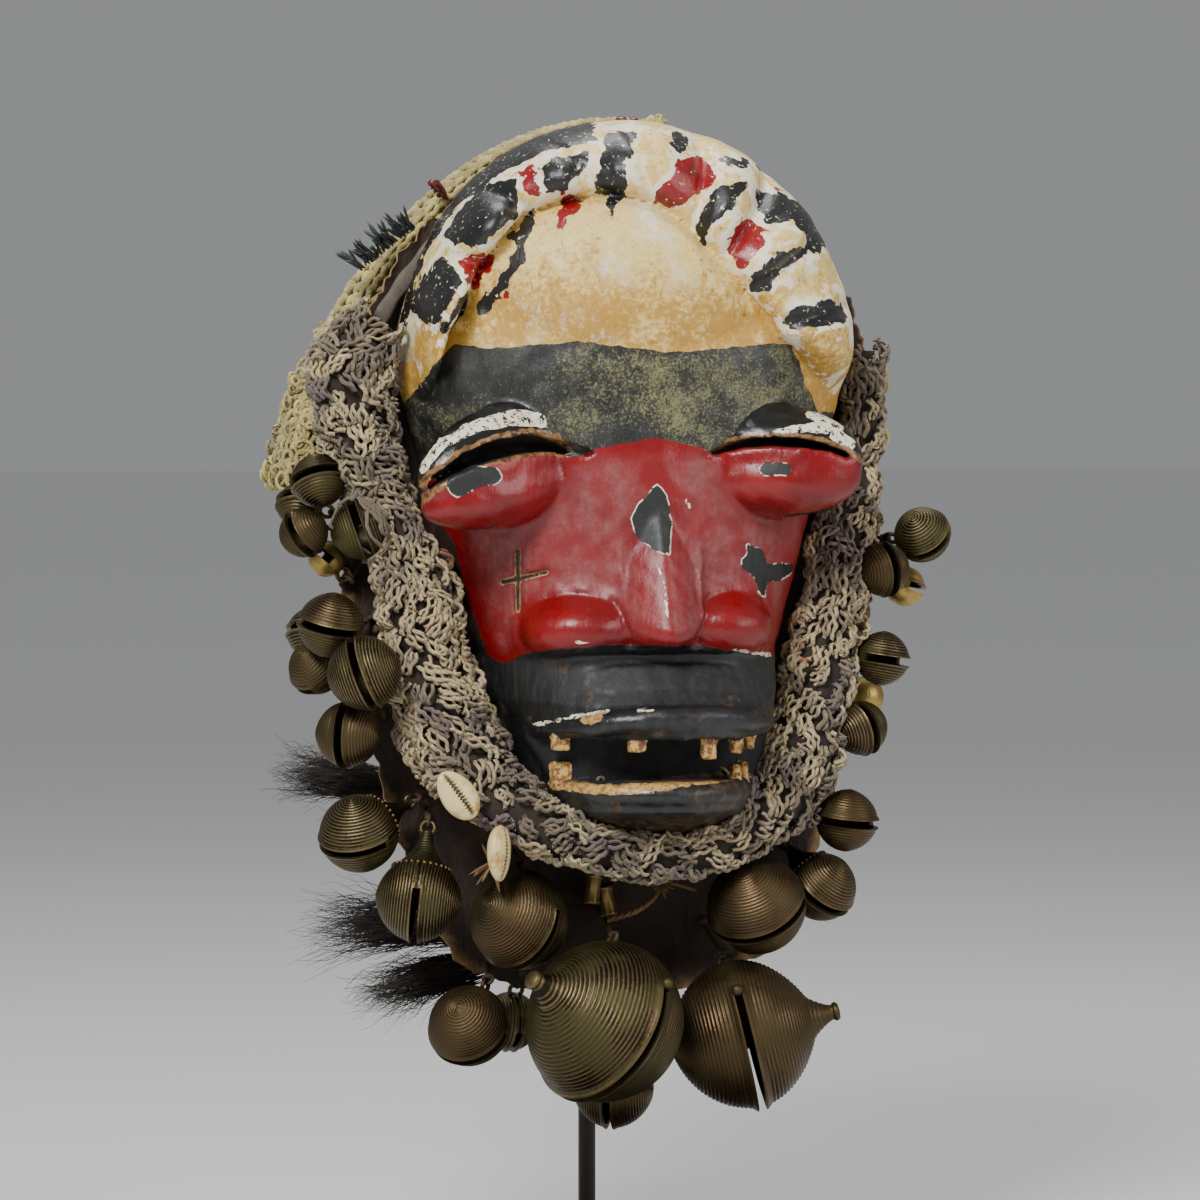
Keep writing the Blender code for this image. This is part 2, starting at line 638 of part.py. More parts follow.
def thongs():
    """All the thongs as one helper mesh, which the collar takes in."""
    sides = 4
    bm = bmesh.new()
    for bell in BELLS:
        root, tip = thong_ends(bell)
        axis = (tip - root).normalized()
        across = axis.orthogonal().normalized()
        other = axis.cross(across)
        loops = []
        for end in (root, tip):
            turns = [2 * math.pi * k / sides for k in range(sides)]
            spokes = [across * math.cos(t) + other * math.sin(t) for t in turns]
            loops.append([bm.verts.new(end + spoke * THONG_RADIUS) for spoke in spokes])
        for k in range(sides):
            j = (k + 1) % sides
            bm.faces.new((loops[0][k], loops[0][j], loops[1][j], loops[1][k]))
        bm.faces.new(loops[0][::-1])
        bm.faces.new(loops[1])
    return object_from_bmesh("thongs", bm, hide())


def build_collar():
    collar = collar_plate()
    boolean(collar, thongs(), "UNION")


# The yarn trim: x, y, z, half width and half thickness along its run, left temple to right temple
YarnStop = namedtuple("YarnStop", "x y z half_width")
YARN_RUN = (
    YarnStop(-97, 4, 64, 9),
    YarnStop(-108, 4, 46, 14),
    YarnStop(-106, 3, 24, 13),
    YarnStop(-99, 3, 6, 10),
    YarnStop(-92, 2, -16, 10),
    YarnStop(-83, 2, -41, 14),
    YarnStop(-79, 0, -68, 15),
    YarnStop(-72, -4, -92, 17),
    YarnStop(-55, -16, -114, 12),
    YarnStop(-30, -26, -129, 9),
    YarnStop(-5, -28, -134, 9),
    YarnStop(20, -27, -134, 9),
    YarnStop(43, -18, -123, 12),
    YarnStop(62, -6, -107, 16),
    YarnStop(72, 2, -82, 13),
    YarnStop(80, 4, -50, 12),
    YarnStop(86, 6, -22, 11),
    YarnStop(91, 8, 5, 8),
    YarnStop(95, 9, 34, 7),
    YarnStop(95, 9, 54, 5),
)
YARN_FLATNESS = 0.62


def yarn_form(x, y, z):
    """A flattened thick roll along the run, kept clear of the mask, the hide, the thongs and the bells."""
    form = np.full(x.shape, 1e3)
    for a, b in zip(YARN_RUN, YARN_RUN[1:]):
        start = (a.x, a.y / YARN_FLATNESS, a.z)
        end = (b.x, b.y / YARN_FLATNESS, b.z)
        roll = tapered_rod(x, y / YARN_FLATNESS, z, start, end, a.half_width, b.half_width)
        form = np.minimum(form, roll)
    room = SOFT_CLEARANCE / UNIT
    form = np.maximum(form, room - mask_form(x, y, z))
    form = np.maximum(form, y - RIM_Y + room)
    for bell in BELLS:
        ball = ellipsoid(x, y, z, (bell.x, bell.y, bell.z), (bell.radius,) * 3)
        form = np.maximum(form, room - ball)
        ends = [((end.x / UNIT), (end.y - FACE_PLANE_Y) / UNIT, (end.z - MASK_CENTRE_Z) / UNIT) for end in thong_ends(bell)]
        thong = tapered_rod(x, y, z, ends[0], ends[1], THONG_RADIUS / UNIT, THONG_RADIUS / UNIT)
        form = np.maximum(form, room - thong)
    return form


def build_yarn():
    low, high = (-128, -42, -152), (112, RIM_Y + 4, 78)
    return skinned("yarn_trim", yarn_form, low, high, YARN_SKIN_STEP, YARN_FACES, grey_yarn())


# The hood's crocheted edge: an arch from ear to ear that falls back from the mask's crown
HOOD_EAR_X = 110
HOOD_EAR_Z = 3
HOOD_CROWN_Z = 136
HOOD_POINT = 1.3
HOOD_STATIONS = 17
HOOD_FALL = 50


def hood_centre(share):
    """A point on the arch's middle line, share 0 at the left ear to 1 at the right ear."""
    turn = math.pi * (1 - share)
    x = HOOD_EAR_X * math.cos(turn)
    z = HOOD_EAR_Z + (HOOD_CROWN_Z - HOOD_EAR_Z) * math.sin(turn) ** HOOD_POINT
    fall = HOOD_FALL * abs(math.cos(turn)) ** 1.5
    spot = place(x, RIM_Y + fall, z)
    spot.y += CLEARANCE + HOOD_DEPTH / 2
    return spot


def build_hood():
    """A flat band on edge: its thickness stands square to the arch and its depth runs back."""
    bm = bmesh.new()
    rings = []
    for i in range(HOOD_STATIONS):
        share = i / (HOOD_STATIONS - 1)
        before, after = hood_centre(max(share - 0.01, 0.0)), hood_centre(min(share + 0.01, 1.0))
        along = (after - before).normalized()
        back = Vector((0, 1, 0))
        out = back.cross(along).normalized()
        back = along.cross(out)
        middle = hood_centre(share)
        thick = HOOD_THICKNESS + HOOD_END_SWELL * (2 * share - 1) ** 4
        ring = []
        for k in range(8):
            turn = 2 * math.pi * (k + 0.5) / 8
            spot = middle + out * (thick / 2 * 1.08 * math.cos(turn))
            ring.append(bm.verts.new(spot + back * (HOOD_DEPTH / 2 * math.sin(turn) / math.sin(math.radians(67.5)))))
        rings.append(ring)
    for a, b in zip(rings, rings[1:]):
        for k in range(8):
            bm.faces.new((a[k], a[(k + 1) % 8], b[(k + 1) % 8], b[k]))
    bm.faces.new(rings[0][::-1])
    bm.faces.new(rings[-1])
    return object_from_bmesh("hood_edge", bm, cream_cotton())


# Cowries: x, y and z of the middle, the long axis and the way the slotted face looks
Cowrie = namedtuple("Cowrie", "name x y z along face")
COWRIES = (
    Cowrie("upper_cowrie", -74.5, -27, -112, (0.62, 0.0, -0.78), (0.1, -1.0, 0.1)),
    Cowrie("lower_cowrie", -58.6, -28, -134, (0.05, 0.1, 1.0), (0.75, -0.6, 0.0)),
)


def build_cowries():
    """Egg-shaped shells with a narrow slot along the flat face."""
    for cowrie in COWRIES:
        along = Vector(cowrie.along).normalized()
        face = Vector(cowrie.face)
        face = (face - along * face.dot(along)).normalized()
        side = face.cross(along)
        turn = Matrix((along, side, face)).transposed().to_4x4()
        turn.translation = place(cowrie.x, cowrie.y, cowrie.z)
        bm = bmesh.new()
        bmesh.ops.create_uvsphere(bm, u_segments=10, v_segments=6, radius=0.5)
        for vert in bm.verts:
            vert.co.x *= COWRIE_LENGTH
            vert.co.y *= COWRIE_WIDTH
            vert.co.z *= COWRIE_HEIGHT * (1.0 if vert.co.z < 0 else 0.7)
        bm.transform(turn)
        body = object_from_bmesh(cowrie.name, bm, shell())
        bm = bmesh.new()
        bmesh.ops.create_cube(bm, size=1.0)
        size = (COWRIE_LENGTH * 0.8, COWRIE_SLOT, COWRIE_HEIGHT * 0.3)
        bmesh.ops.scale(bm, vec=size, verts=bm.verts)
        bmesh.ops.translate(bm, vec=(0, 0, COWRIE_HEIGHT * 0.35), verts=bm.verts)
        bm.transform(turn)
        boolean(body, object_from_bmesh(cowrie.name + ".slot", bm, shell()), "DIFFERENCE")


# Fur tufts behind the collar: root and tip in carving units, and the root's radius
Tuft = namedtuple("Tuft", "name root tip radius")
TUFTS = (
    Tuft("left_upper_fur_tuft", (-84, 33, -114), (-128, 37, -104), 8),
    Tuft("left_lower_fur_tuft", (-54, 36, -166), (-116, 40, -164), 10),
    Tuft("left_bottom_fur_tuft", (-50, 34, -182), (-98, 36, -190), 8),
    Tuft("right_fur_tuft", (66, 33, -158), (88, 36, -152), 7),
)


def build_tufts():
    """Each tuft of hair is a tapered spindle that touches the back of the hide at its root."""
    for tuft in TUFTS:
        root, tip = place(*tuft.root), place(*tuft.tip)
        radius = tuft.radius * UNIT
        back = FACE_PLANE_Y + collar_y() + COLLAR_THICKNESS / 2 + CLEARANCE + radius
        shift = Vector((0, back - root.y, 0))
        length = (tip - root).length
        profile = [(0, radius * 0.6), (length * 0.15, radius * 0.95), (length * 0.55, radius * 0.8), (length, radius * 0.2)]
        turned(tuft.name, root + shift, tip - root, profile, 8, fur())


# The stand
def build_base():
    bm = bmesh.new()
    bmesh.ops.create_cube(bm, size=1.0)
    bmesh.ops.scale(bm, vec=(BASE_WIDTH, BASE_LENGTH, BASE_HEIGHT), verts=bm.verts)
    bmesh.ops.translate(bm, vec=(0, 0, BASE_HEIGHT / 2), verts=bm.verts)
    base = object_from_bmesh("stand_base", bm, black_steel())
    edge = base.modifiers.new("edge", "BEVEL")
    edge.width = BASE_BEVEL
    edge.segments = 1
    edge.limit_method = "ANGLE"
    foot = Vector((0, ROD_BEHIND_MASK, BASE_HEIGHT - ROD_SOCKET_DEPTH))
    bore = ROD_DIAMETER / 2 + CLEARANCE
    tall = ROD_SOCKET_DEPTH + BASE_HEIGHT
    socket = turned("socket", foot, Vector((0, 0, 1)), [(0, bore), (tall, bore)], 16, black_steel())
    boolean(base, socket, "DIFFERENCE")


def hollow_front(x, z):
    """Where the hollow's inner wall is at x and height z, in carving units behind the face plane."""
    y = np.linspace(RIM_Y, -60, 1601)
    empty = shield(0 * y + x, y, 0 * y + z, MASK_WALL / UNIT) < 0
    return float(y[empty].min())


def pad_front(z):
    """The y of a pad's front at height z, such that its corners just clear the hollow's wall."""
    corner, half = STAY_PAD_WIDTH / 2 / UNIT, STAY_PAD_HEIGHT / 2 / UNIT
    nearest = max(hollow_front(corner, z - half), hollow_front(corner, z + half))
    return FACE_PLANE_Y + nearest * UNIT + SOFT_CLEARANCE


def bent_rod(name, corners, bends, radius, sides):
    """A round rod through corners, each inner corner rounded by an arc of the bend radius."""
    path = [corners[0]]
    for before, corner, after in zip(corners, corners[1:], corners[2:]):
        into, away = (corner - before).normalized(), (after - corner).normalized()
        turn = into.angle(away)
        cut = bends * math.tan(turn / 2)
        centre = corner + (away - into).normalized() * (bends / math.cos(turn / 2))
        first, last = corner - into * cut - centre, corner + away * cut - centre
        steps = 5
        for k in range(steps + 1):
            turned_by = turn * k / steps
            spoke = (first * math.sin(turn - turned_by) + last * math.sin(turned_by)) / math.sin(turn)
            path.append(centre + spoke)
    path.append(corners[-1])
    side = Vector((1, 0, 0))
    bm = bmesh.new()
    rings = []
    for i, spot in enumerate(path):
        along = (path[min(i + 1, len(path) - 1)] - path[max(i - 1, 0)]).normalized()
        other = along.cross(side).normalized()
        turns = [2 * math.pi * k / sides for k in range(sides)]
        rings.append([bm.verts.new(spot + (side * math.cos(t) + other * math.sin(t)) * radius) for t in turns])
    for a, b in zip(rings, rings[1:]):
        for k in range(sides):
            bm.faces.new((a[k], a[(k + 1) % sides], b[(k + 1) % sides], b[k]))
    bm.faces.new(rings[0][::-1])
    bm.faces.new(rings[-1])
    return object_from_bmesh(name, bm, black_steel())


CRADLE_Z = 112
STAY_Z = -62


def pad(name, y, z):
    """A small plate that bears on the hollow's inner wall."""
    thick = ROD_DIAMETER * 0.6
    bm = bmesh.new()
    bmesh.ops.create_cube(bm, size=1.0)
    bmesh.ops.scale(bm, vec=(STAY_PAD_WIDTH, thick, STAY_PAD_HEIGHT), verts=bm.verts)
    bmesh.ops.translate(bm, vec=(0, y + thick / 2, z), verts=bm.verts)
    return object_from_bmesh(name, bm, black_steel())


def build_rod():
    """The upright, bent forward at the top into the mask's hollow, with a welded stay to the jaw."""
    radius = ROD_DIAMETER / 2
    back_y = ROD_BEHIND_MASK
    foot = Vector((0, back_y, BASE_HEIGHT - ROD_SOCKET_DEPTH + CLEARANCE))
    cradle_z = MASK_CENTRE_Z + CRADLE_Z * UNIT
    reach_y = pad_front(CRADLE_Z)
    corners = [foot, Vector((0, back_y, cradle_z)), Vector((0, reach_y + radius, cradle_z))]
    rod = bent_rod("stand_rod", corners, ROD_BEND_RADIUS, radius, 12)
    boolean(rod, pad("cradle_pad", reach_y, cradle_z), "UNION")
    stay_z = MASK_CENTRE_Z + STAY_Z * UNIT
    stay_y = pad_front(STAY_Z)
    start = Vector((0, stay_y + radius, stay_z))
    length = back_y - start.y
    stay = turned("stay", start, Vector((0, 1, 0)), [(0, radius * 0.7), (length, radius * 0.7)], 8, black_steel())
    boolean(rod, stay, "UNION")
    boolean(rod, pad("stay_pad", stay_y, stay_z), "UNION")


def main():
    clear_scene()
    build_mask()
    build_bells()
    build_collar()
    build_yarn()
    build_hood()
    build_cowries()
    build_tufts()
    build_base()
    build_rod()


main()
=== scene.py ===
"""A Guere mask hung with crotal bells, dressed with its paint, yarn, hide and patina."""

import math
import random
from collections import namedtuple

import bmesh
import bpy
import numpy as np
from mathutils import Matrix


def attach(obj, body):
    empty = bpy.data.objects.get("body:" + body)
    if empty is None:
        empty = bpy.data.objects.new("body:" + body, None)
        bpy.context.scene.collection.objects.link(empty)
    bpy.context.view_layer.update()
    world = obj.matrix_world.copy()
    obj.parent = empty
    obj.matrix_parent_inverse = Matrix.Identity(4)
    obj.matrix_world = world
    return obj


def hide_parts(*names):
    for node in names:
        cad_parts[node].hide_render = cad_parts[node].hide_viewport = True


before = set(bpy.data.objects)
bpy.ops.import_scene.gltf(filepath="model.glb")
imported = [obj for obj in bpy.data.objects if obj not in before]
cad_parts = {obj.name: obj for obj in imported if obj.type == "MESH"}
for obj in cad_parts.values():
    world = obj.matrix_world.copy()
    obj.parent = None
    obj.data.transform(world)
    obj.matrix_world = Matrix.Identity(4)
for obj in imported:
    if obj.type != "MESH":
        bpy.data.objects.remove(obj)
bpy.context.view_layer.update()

import openvdb
from bpy.props import FloatProperty, FloatVectorProperty, IntProperty, PointerProperty
from mathutils import Vector

bl_info = {
    "name": "Guere mask",
    "version": (1, 0, 0),
    "blender": (4, 5, 0),
    "location": "3D View > Sidebar > Guere mask",
    "description": "Carves, paints and dresses a Guere mask with its bells on a display rod",
    "category": "Add Mesh",
}

# One carving unit is a millimetre. Carving units are counted from the mask's centre.
UNIT = 0.001
CENTRE_Z = 0.309
RIM_Y = 20
COLLAR_GAP = 0.4
COLLAR_THICKNESS = 2.5


def place(points):
    """Points in carving units, as metres in the part's frame."""
    points = np.asarray(points, float) * UNIT
    return points + np.array((0.0, 0.0, CENTRE_Z))


# Sizes and colours


def colour(name, description, default):
    return FloatVectorProperty(
        name=name, description=description, default=default, subtype="COLOR", size=3, min=0.0, max=1.0
    )


def length(name, description, default):
    return FloatProperty(name=name, description=description, default=default, unit="LENGTH", min=0.0, precision=4)


def angle(name, description, default):
    return FloatProperty(name=name, description=description, default=math.radians(default), unit="ROTATION")


class MaskSettings(bpy.types.PropertyGroup):
    grain: length("Carving grain", "Distance between the points that the carving is worked out at", 0.00142)
    wall: length("Wall", "Thickness of the carved wood", 0.010)
    red: colour("Red", "Red enamel on the cheeks, nose and lower lids", (0.25, 0.005, 0.007))
    black: colour("Black", "Black enamel on the lips and lids", (0.010, 0.010, 0.010))
    cream: colour("Cream", "Kaolin and paint on the forehead", (0.78, 0.58, 0.20))
    ochre: colour("Ochre", "Stained hollows of the forehead", (0.50, 0.27, 0.040))
    white: colour("White", "Thick white paint and the edges of peeled paint", (0.82, 0.76, 0.58))
    wood: colour("Wood", "Bare dark wood", (0.045, 0.022, 0.010))
    worn: colour("Worn wood", "Bare wood where edges are rubbed", (0.30, 0.15, 0.05))
    brow: colour("Brow", "Greyed black over the brow", (0.028, 0.029, 0.026))
    lichen: colour("Brow speckle", "Yellow-green speckle on the brow", (0.26, 0.24, 0.09))


class BellSettings(bpy.types.PropertyGroup):
    ridge: length("Ridge pitch", "Distance from one wound ridge to the next", 0.00125)
    ridge_height: length("Ridge height", "How far the ridges stand out", 0.00030)
    wall: length("Wall", "Thickness of the casting", 0.0014)
    slit: length("Slit", "Width of the slit", 0.003)
    dark: colour("Dark bronze", "Colour in the hollows between ridges", (0.016, 0.012, 0.007))
    bright: colour("Rubbed bronze", "Colour on the ridges", (0.175, 0.130, 0.056))
    olive: colour("Patina", "Dull olive patina", (0.075, 0.068, 0.026))
    gold: colour("Plain bells", "Colour of the smooth yellow bells", (0.42, 0.29, 0.085))


class YarnSettings(bpy.types.PropertyGroup):
    thickness: length("Yarn", "Thickness of the yarn", 0.0018)
    tufts: IntProperty(name="Tufts", description="Tufts of crimped yarn round the trim", default=380, min=4)
    grey: colour("Grey", "Faded grey-brown yarn", (0.19, 0.145, 0.098))
    mauve: colour("Mauve", "Mauve yarn", (0.15, 0.105, 0.115))
    cream: colour("Cream", "Light yarn", (0.60, 0.47, 0.26))
    cotton: colour("Cotton", "Crocheted edge of the hood", (0.66, 0.54, 0.21))


class DressSettings(bpy.types.PropertyGroup):
    hide: colour("Hide", "Dark side of the hide", (0.026, 0.016, 0.010))
    tan: colour("Hide edge", "Tan edge and inner side of the hide", (0.42, 0.25, 0.10))
    hair: colour("Hair", "Black fur", (0.008, 0.006, 0.005))
    raffia: colour("Raffia", "Fibre string", (0.32, 0.18, 0.07))
    shell: colour("Cowrie", "Shell", (0.72, 0.57, 0.26))
    steel: colour("Stand", "Dark paint of the rod and base", (0.020, 0.014, 0.011))


class StageSettings(bpy.types.PropertyGroup):
    distance: length("Camera distance", "From the camera to the mask", 2.0)
    view_width: length("View width", "Width of what the camera sees at the mask", 0.456)
    azimuth: angle("Camera turn", "Turn of the camera about the mask", -15)
    elevation: angle("Camera rise", "Rise of the camera over the level", 2)
    floor: colour("Floor", "Plain pale floor", (0.68, 0.68, 0.67))


# Mesh helpers


def finished(name, mesh, materials, replaces=()):
    """Links a mesh as a piece of the mask, with its materials."""
    obj = bpy.data.objects.new(name, mesh)
    bpy.context.scene.collection.objects.link(obj)
    for mat in materials:
        mesh.materials.append(mat)
    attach(obj, "root")
    if replaces:
        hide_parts(*replaces)
    return obj


def mesh_of(name, points, faces, smooth=True):
    mesh = bpy.data.meshes.new(name)
    mesh.from_pydata(np.asarray(points, float).tolist(), [], faces)
    if smooth:
        mesh.shade_smooth()
    return mesh


def paint(mesh, name, values):
    """Keeps one number for each point, for the materials to read."""
    layer = mesh.attributes.new(name, "FLOAT", "POINT")
    layer.data.foreach_set("value", np.asarray(values, np.float32))


class Gathered:
    """Points and faces of many small parts that make one mesh, each with the usual values or its own."""

    def __init__(self, **usual):
        self.points, self.faces, self.values, self.count, self.usual = [], [], {}, 0, usual

    def add(self, points, faces, **values):
        points = np.asarray(points, float).reshape(-1, 3)
        self.points.append(points)
        self.faces.append(np.asarray(faces) + self.count)
        self.count += len(points)
        for key, value in {**self.usual, **values}.items():
            self.values.setdefault(key, []).append(np.broadcast_to(np.asarray(value, float), (len(points),)))

    def mesh(self, name):
        points = np.concatenate(self.points)
        faces = []
        for block in self.faces:
            faces.extend(block.tolist())
        mesh = mesh_of(name, place(points), faces)
        for key, blocks in self.values.items():
            paint(mesh, key, np.concatenate(blocks))
        return mesh


def grid_faces(rows, columns, wrap=True):
    """Quads between rows of points. With wrap, each row is a closed ring."""
    i, j = np.meshgrid(np.arange(rows - 1), np.arange(columns if wrap else columns - 1), indexing="ij")
    k = (j + 1) % columns
    a, b = i * columns + j, i * columns + k
    c, d = (i + 1) * columns + k, (i + 1) * columns + j
    return np.stack([a, b, c, d], -1).reshape(-1, 4)


def sides_along(path):
    """Two side vectors all along a path, turning as little as they can."""
    path = np.asarray(path, float)
    tangent = np.gradient(path, axis=0)
    tangent /= np.maximum(np.linalg.norm(tangent, axis=1, keepdims=True), 1e-9)
    side = np.zeros_like(path)
    start = np.cross(tangent[0], (0.3, 0.2, 1.0))
    side[0] = start / max(np.linalg.norm(start), 1e-9)
    for i in range(1, len(path)):
        kept = side[i - 1] - tangent[i] * (side[i - 1] @ tangent[i])
        side[i] = kept / max(np.linalg.norm(kept), 1e-9)
    return side, np.cross(tangent, side)


def tube(path, radius, sides=4):
    """Points and quads of a round tube along a path. radius is one number or one for each point."""
    path = np.asarray(path, float)
    radius = np.broadcast_to(np.asarray(radius, float), (len(path),))
    side, other = sides_along(path)
    turn = np.arange(sides) * 2 * math.pi / sides
    ring = side[:, None] * np.cos(turn)[None, :, None] + other[:, None] * np.sin(turn)[None, :, None]
    points = path[:, None] + ring * radius[:, None, None]
    return points.reshape(-1, 3), grid_faces(len(path), sides)


def capped_tube(path, radius, sides=6):
    """A tube that closes to a point at both ends."""
    path = np.asarray(path, float)
    radius = np.broadcast_to(np.asarray(radius, float), (len(path),)).copy()
    radius[0] = radius[-1] = 0.02
    return tube(path, radius, sides)


def smooth_path(corners, count):
    """A smooth curve through corners, at even steps."""
    corners = np.asarray(corners, float)
    padded = np.vstack([2 * corners[0] - corners[1], corners, 2 * corners[-1] - corners[-2]])
    t = np.linspace(0, len(corners) - 1, count)
    i = np.minimum(t.astype(int), len(corners) - 2)
    f = (t - i)[:, None]
    p0, p1, p2, p3 = padded[i], padded[i + 1], padded[i + 2], padded[i + 3]
    square, cube = 2 * p0 - 5 * p1 + 4 * p2 - p3, 3 * p1 - p0 - 3 * p2 + p3
    return 0.5 * (2 * p1 + (p2 - p0) * f + square * f**2 + cube * f**3)


# Material helpers


class Nodes:
    """Short ways to lay and join the nodes of one material or group."""

    def __init__(self, tree):
        self.tree = tree

    def add(self, kind, **values):
        node = self.tree.nodes.new(kind)
        for key, value in values.items():
            setattr(node, key, value)
        return node

    def join(self, source, target):
        self.tree.links.new(source, target)

    def number(self, name):
        return self.add("ShaderNodeAttribute", attribute_name=name).outputs["Fac"]

    def place(self):
        return self.add("ShaderNodeTexCoord").outputs["Object"]

    def noise(self, scale, detail=4.0, roughness=0.6, where=None):
        node = self.add("ShaderNodeTexNoise")
        node.inputs["Scale"].default_value = scale
        node.inputs["Detail"].default_value = detail
        node.inputs["Roughness"].default_value = roughness
        self.join(where or self.place(), node.inputs["Vector"])
        return node.outputs["Fac"]

    def stretched(self, scale):
        node = self.add("ShaderNodeMapping")
        node.inputs["Scale"].default_value = scale
        self.join(self.place(), node.inputs["Vector"])
        return node.outputs["Vector"]

    def give(self, value, socket):
        """Joins a socket, or sets a number or colour on the socket itself."""
        if isinstance(value, bpy.types.NodeSocket):
            self.join(value, socket)
        else:
            socket.default_value = value if isinstance(value, (int, float)) else (*value, 1.0)

    def feed(self, shader, values):
        for name, value in values.items():
            self.give(value, shader.inputs[name])

    def maths(self, operation, *values):
        node = self.add("ShaderNodeMath", operation=operation)
        for socket, value in zip(node.inputs, values):
            self.give(value, socket)
        return node.outputs[0]

    def sum(self, a, b):
        return self.maths("ADD", a, b)

    def less(self, a, b):
        return self.maths("SUBTRACT", a, b)

    def times(self, a, b):
        return self.maths("MULTIPLY", a, b)

    def ramp(self, value, low, high, start=0.0, end=1.0):
        node = self.add("ShaderNodeMapRange", interpolation_type="SMOOTHSTEP")
        self.join(value, node.inputs["Value"])
        for key, number in (("From Min", low), ("From Max", high), ("To Min", start), ("To Max", end)):
            node.inputs[key].default_value = number
        return node.outputs["Result"]

    def mix(self, factor, a, b):
        node = self.add("ShaderNodeMix", data_type="RGBA")
        self.join(factor, node.inputs["Factor"])
        for key, value in (("A", a), ("B", b)):
            self.give(value, next(s for s in node.inputs if s.name == key and s.type == "RGBA"))
        return next(s for s in node.outputs if s.type == "RGBA")

    def mix_number(self, factor, a, b):
        node = self.add("ShaderNodeMix", data_type="FLOAT")
        self.join(factor, node.inputs["Factor"])
        self.give(a, node.inputs[2])
        self.give(b, node.inputs[3])
        return node.outputs[0]

    def bump(self, height, strength, distance):
        node = self.add("ShaderNodeBump")
        node.inputs["Strength"].default_value = strength
        node.inputs["Distance"].default_value = distance
        self.join(height, node.inputs["Height"])
        return node.outputs["Normal"]


def dim(shade, share_left):
    return [c * share_left for c in shade]


def blank(name):
    """A new material with its Principled shader, and the helper for its nodes."""
    mat = bpy.data.materials.new(name)
    mat.use_nodes = True
    return mat, mat.node_tree.nodes["Principled BSDF"], Nodes(mat.node_tree)


def ragged_group():
    """Paint edge: where a painted field ends, broken up by noise, and the thin line along that edge."""
    group = bpy.data.node_groups.get("ragged paint edge")
    if group:
        return group
    group = bpy.data.node_groups.new("ragged paint edge", "ShaderNodeTree")
    for name, default in (("Field", 0.0), ("Raggedness", 1.6), ("Scale", 260.0), ("Line", 0.7)):
        socket = group.interface.new_socket(name, in_out="INPUT", socket_type="NodeSocketFloat")
        socket.default_value = default
    for name in ("Mask", "Edge", "Halo"):
        group.interface.new_socket(name, in_out="OUTPUT", socket_type="NodeSocketFloat")
    n = Nodes(group)
    inside, outside = n.add("NodeGroupInput"), n.add("NodeGroupOutput")
    noise = n.add("ShaderNodeTexNoise")
    noise.inputs["Detail"].default_value = 5.0
    n.join(n.place(), noise.inputs["Vector"])
    n.join(inside.outputs["Scale"], noise.inputs["Scale"])
    shift = n.times(n.less(noise.outputs["Fac"], 0.5), inside.outputs["Raggedness"])
    moved = n.sum(inside.outputs["Field"], n.times(shift, 3.0))
    n.join(n.ramp(moved, -0.10, 0.10), outside.inputs["Mask"])
    line = n.less(inside.outputs["Line"], n.maths("ABSOLUTE", moved))
    n.join(n.ramp(line, -0.15, 0.15), outside.inputs["Edge"])
    n.join(n.ramp(moved, -2.9, -2.5), outside.inputs["Halo"])
    return group


def ragged(n, field, raggedness, scale, line=0.7):
    """The mask, the edge line and the halo of a painted field, given as a socket or by its name."""
    node = n.add("ShaderNodeGroup", node_tree=ragged_group())
    n.join(n.number(field) if isinstance(field, str) else field, node.inputs["Field"])
    for name, value in (("Raggedness", raggedness), ("Scale", scale), ("Line", line)):
        node.inputs[name].default_value = value
    return [node.outputs[name] for name in ("Mask", "Edge", "Halo")]


def speckled(name, scale, first, second, roughness, detail=4.0):
    """A plain material of two colours that fine noise mixes."""
    mat, shader, n = blank(name)
    n.feed(shader, {"Base Color": n.mix(n.noise(scale, detail), first, second), "Roughness": roughness})
    return mat, shader, n


# Implicit forms of the carving. Each takes arrays of x, y and z in carving units and is negative inside.


def smooth_min(a, b, blend):
    h = np.clip(0.5 + 0.5 * (b - a) / blend, 0, 1)
    return b + (a - b) * h - blend * h * (1 - h)


def smooth_max(a, b, blend):
    return -smooth_min(-a, -b, blend)


def ellipsoid(x, y, z, centre, semi, tilt=0.0, yaw=0.0):
    """An ellipsoid turned by tilt in the face's plane and by yaw about the vertical, in degrees."""
    x, y, z = x - centre[0], y - centre[1], z - centre[2]
    c, s = math.cos(math.radians(yaw)), math.sin(math.radians(yaw))
    x, y = c * x + s * y, -s * x + c * y
    c, s = math.cos(math.radians(tilt)), math.sin(math.radians(tilt))
    x, z = c * x + s * z, -s * x + c * z
    a, b, h = semi
    near = np.sqrt((x / a) ** 2 + (y / b) ** 2 + (z / h) ** 2)
    slope = np.sqrt((x / a**2) ** 2 + (y / b**2) ** 2 + (z / h**2) ** 2)
    return near * (near - 1) / np.maximum(slope, 1e-6)


def tapered_rod(x, y, z, start, end, start_radius, end_radius):
    start, end = np.array(start, float), np.array(end, float)
    along = end - start
    t = ((x - start[0]) * along[0] + (y - start[1]) * along[1] + (z - start[2]) * along[2]) / (along @ along)
    t = np.clip(t, 0, 1)
    away = np.sqrt(
        (x - start[0] - t * along[0]) ** 2
        + (y - start[1] - t * along[1]) ** 2
        + (z - start[2] - t * along[2]) ** 2
    )
    return away - (start_radius + (end_radius - start_radius) * t)


def block(x, y, z, centre, half, rounding):
    q = [np.abs(v - c) - h + rounding for v, c, h in zip((x, y, z), centre, half)]
    outside = np.sqrt(sum(np.maximum(v, 0) ** 2 for v in q))
    return outside + np.minimum(np.maximum(np.maximum(q[0], q[1]), q[2]), 0) - rounding


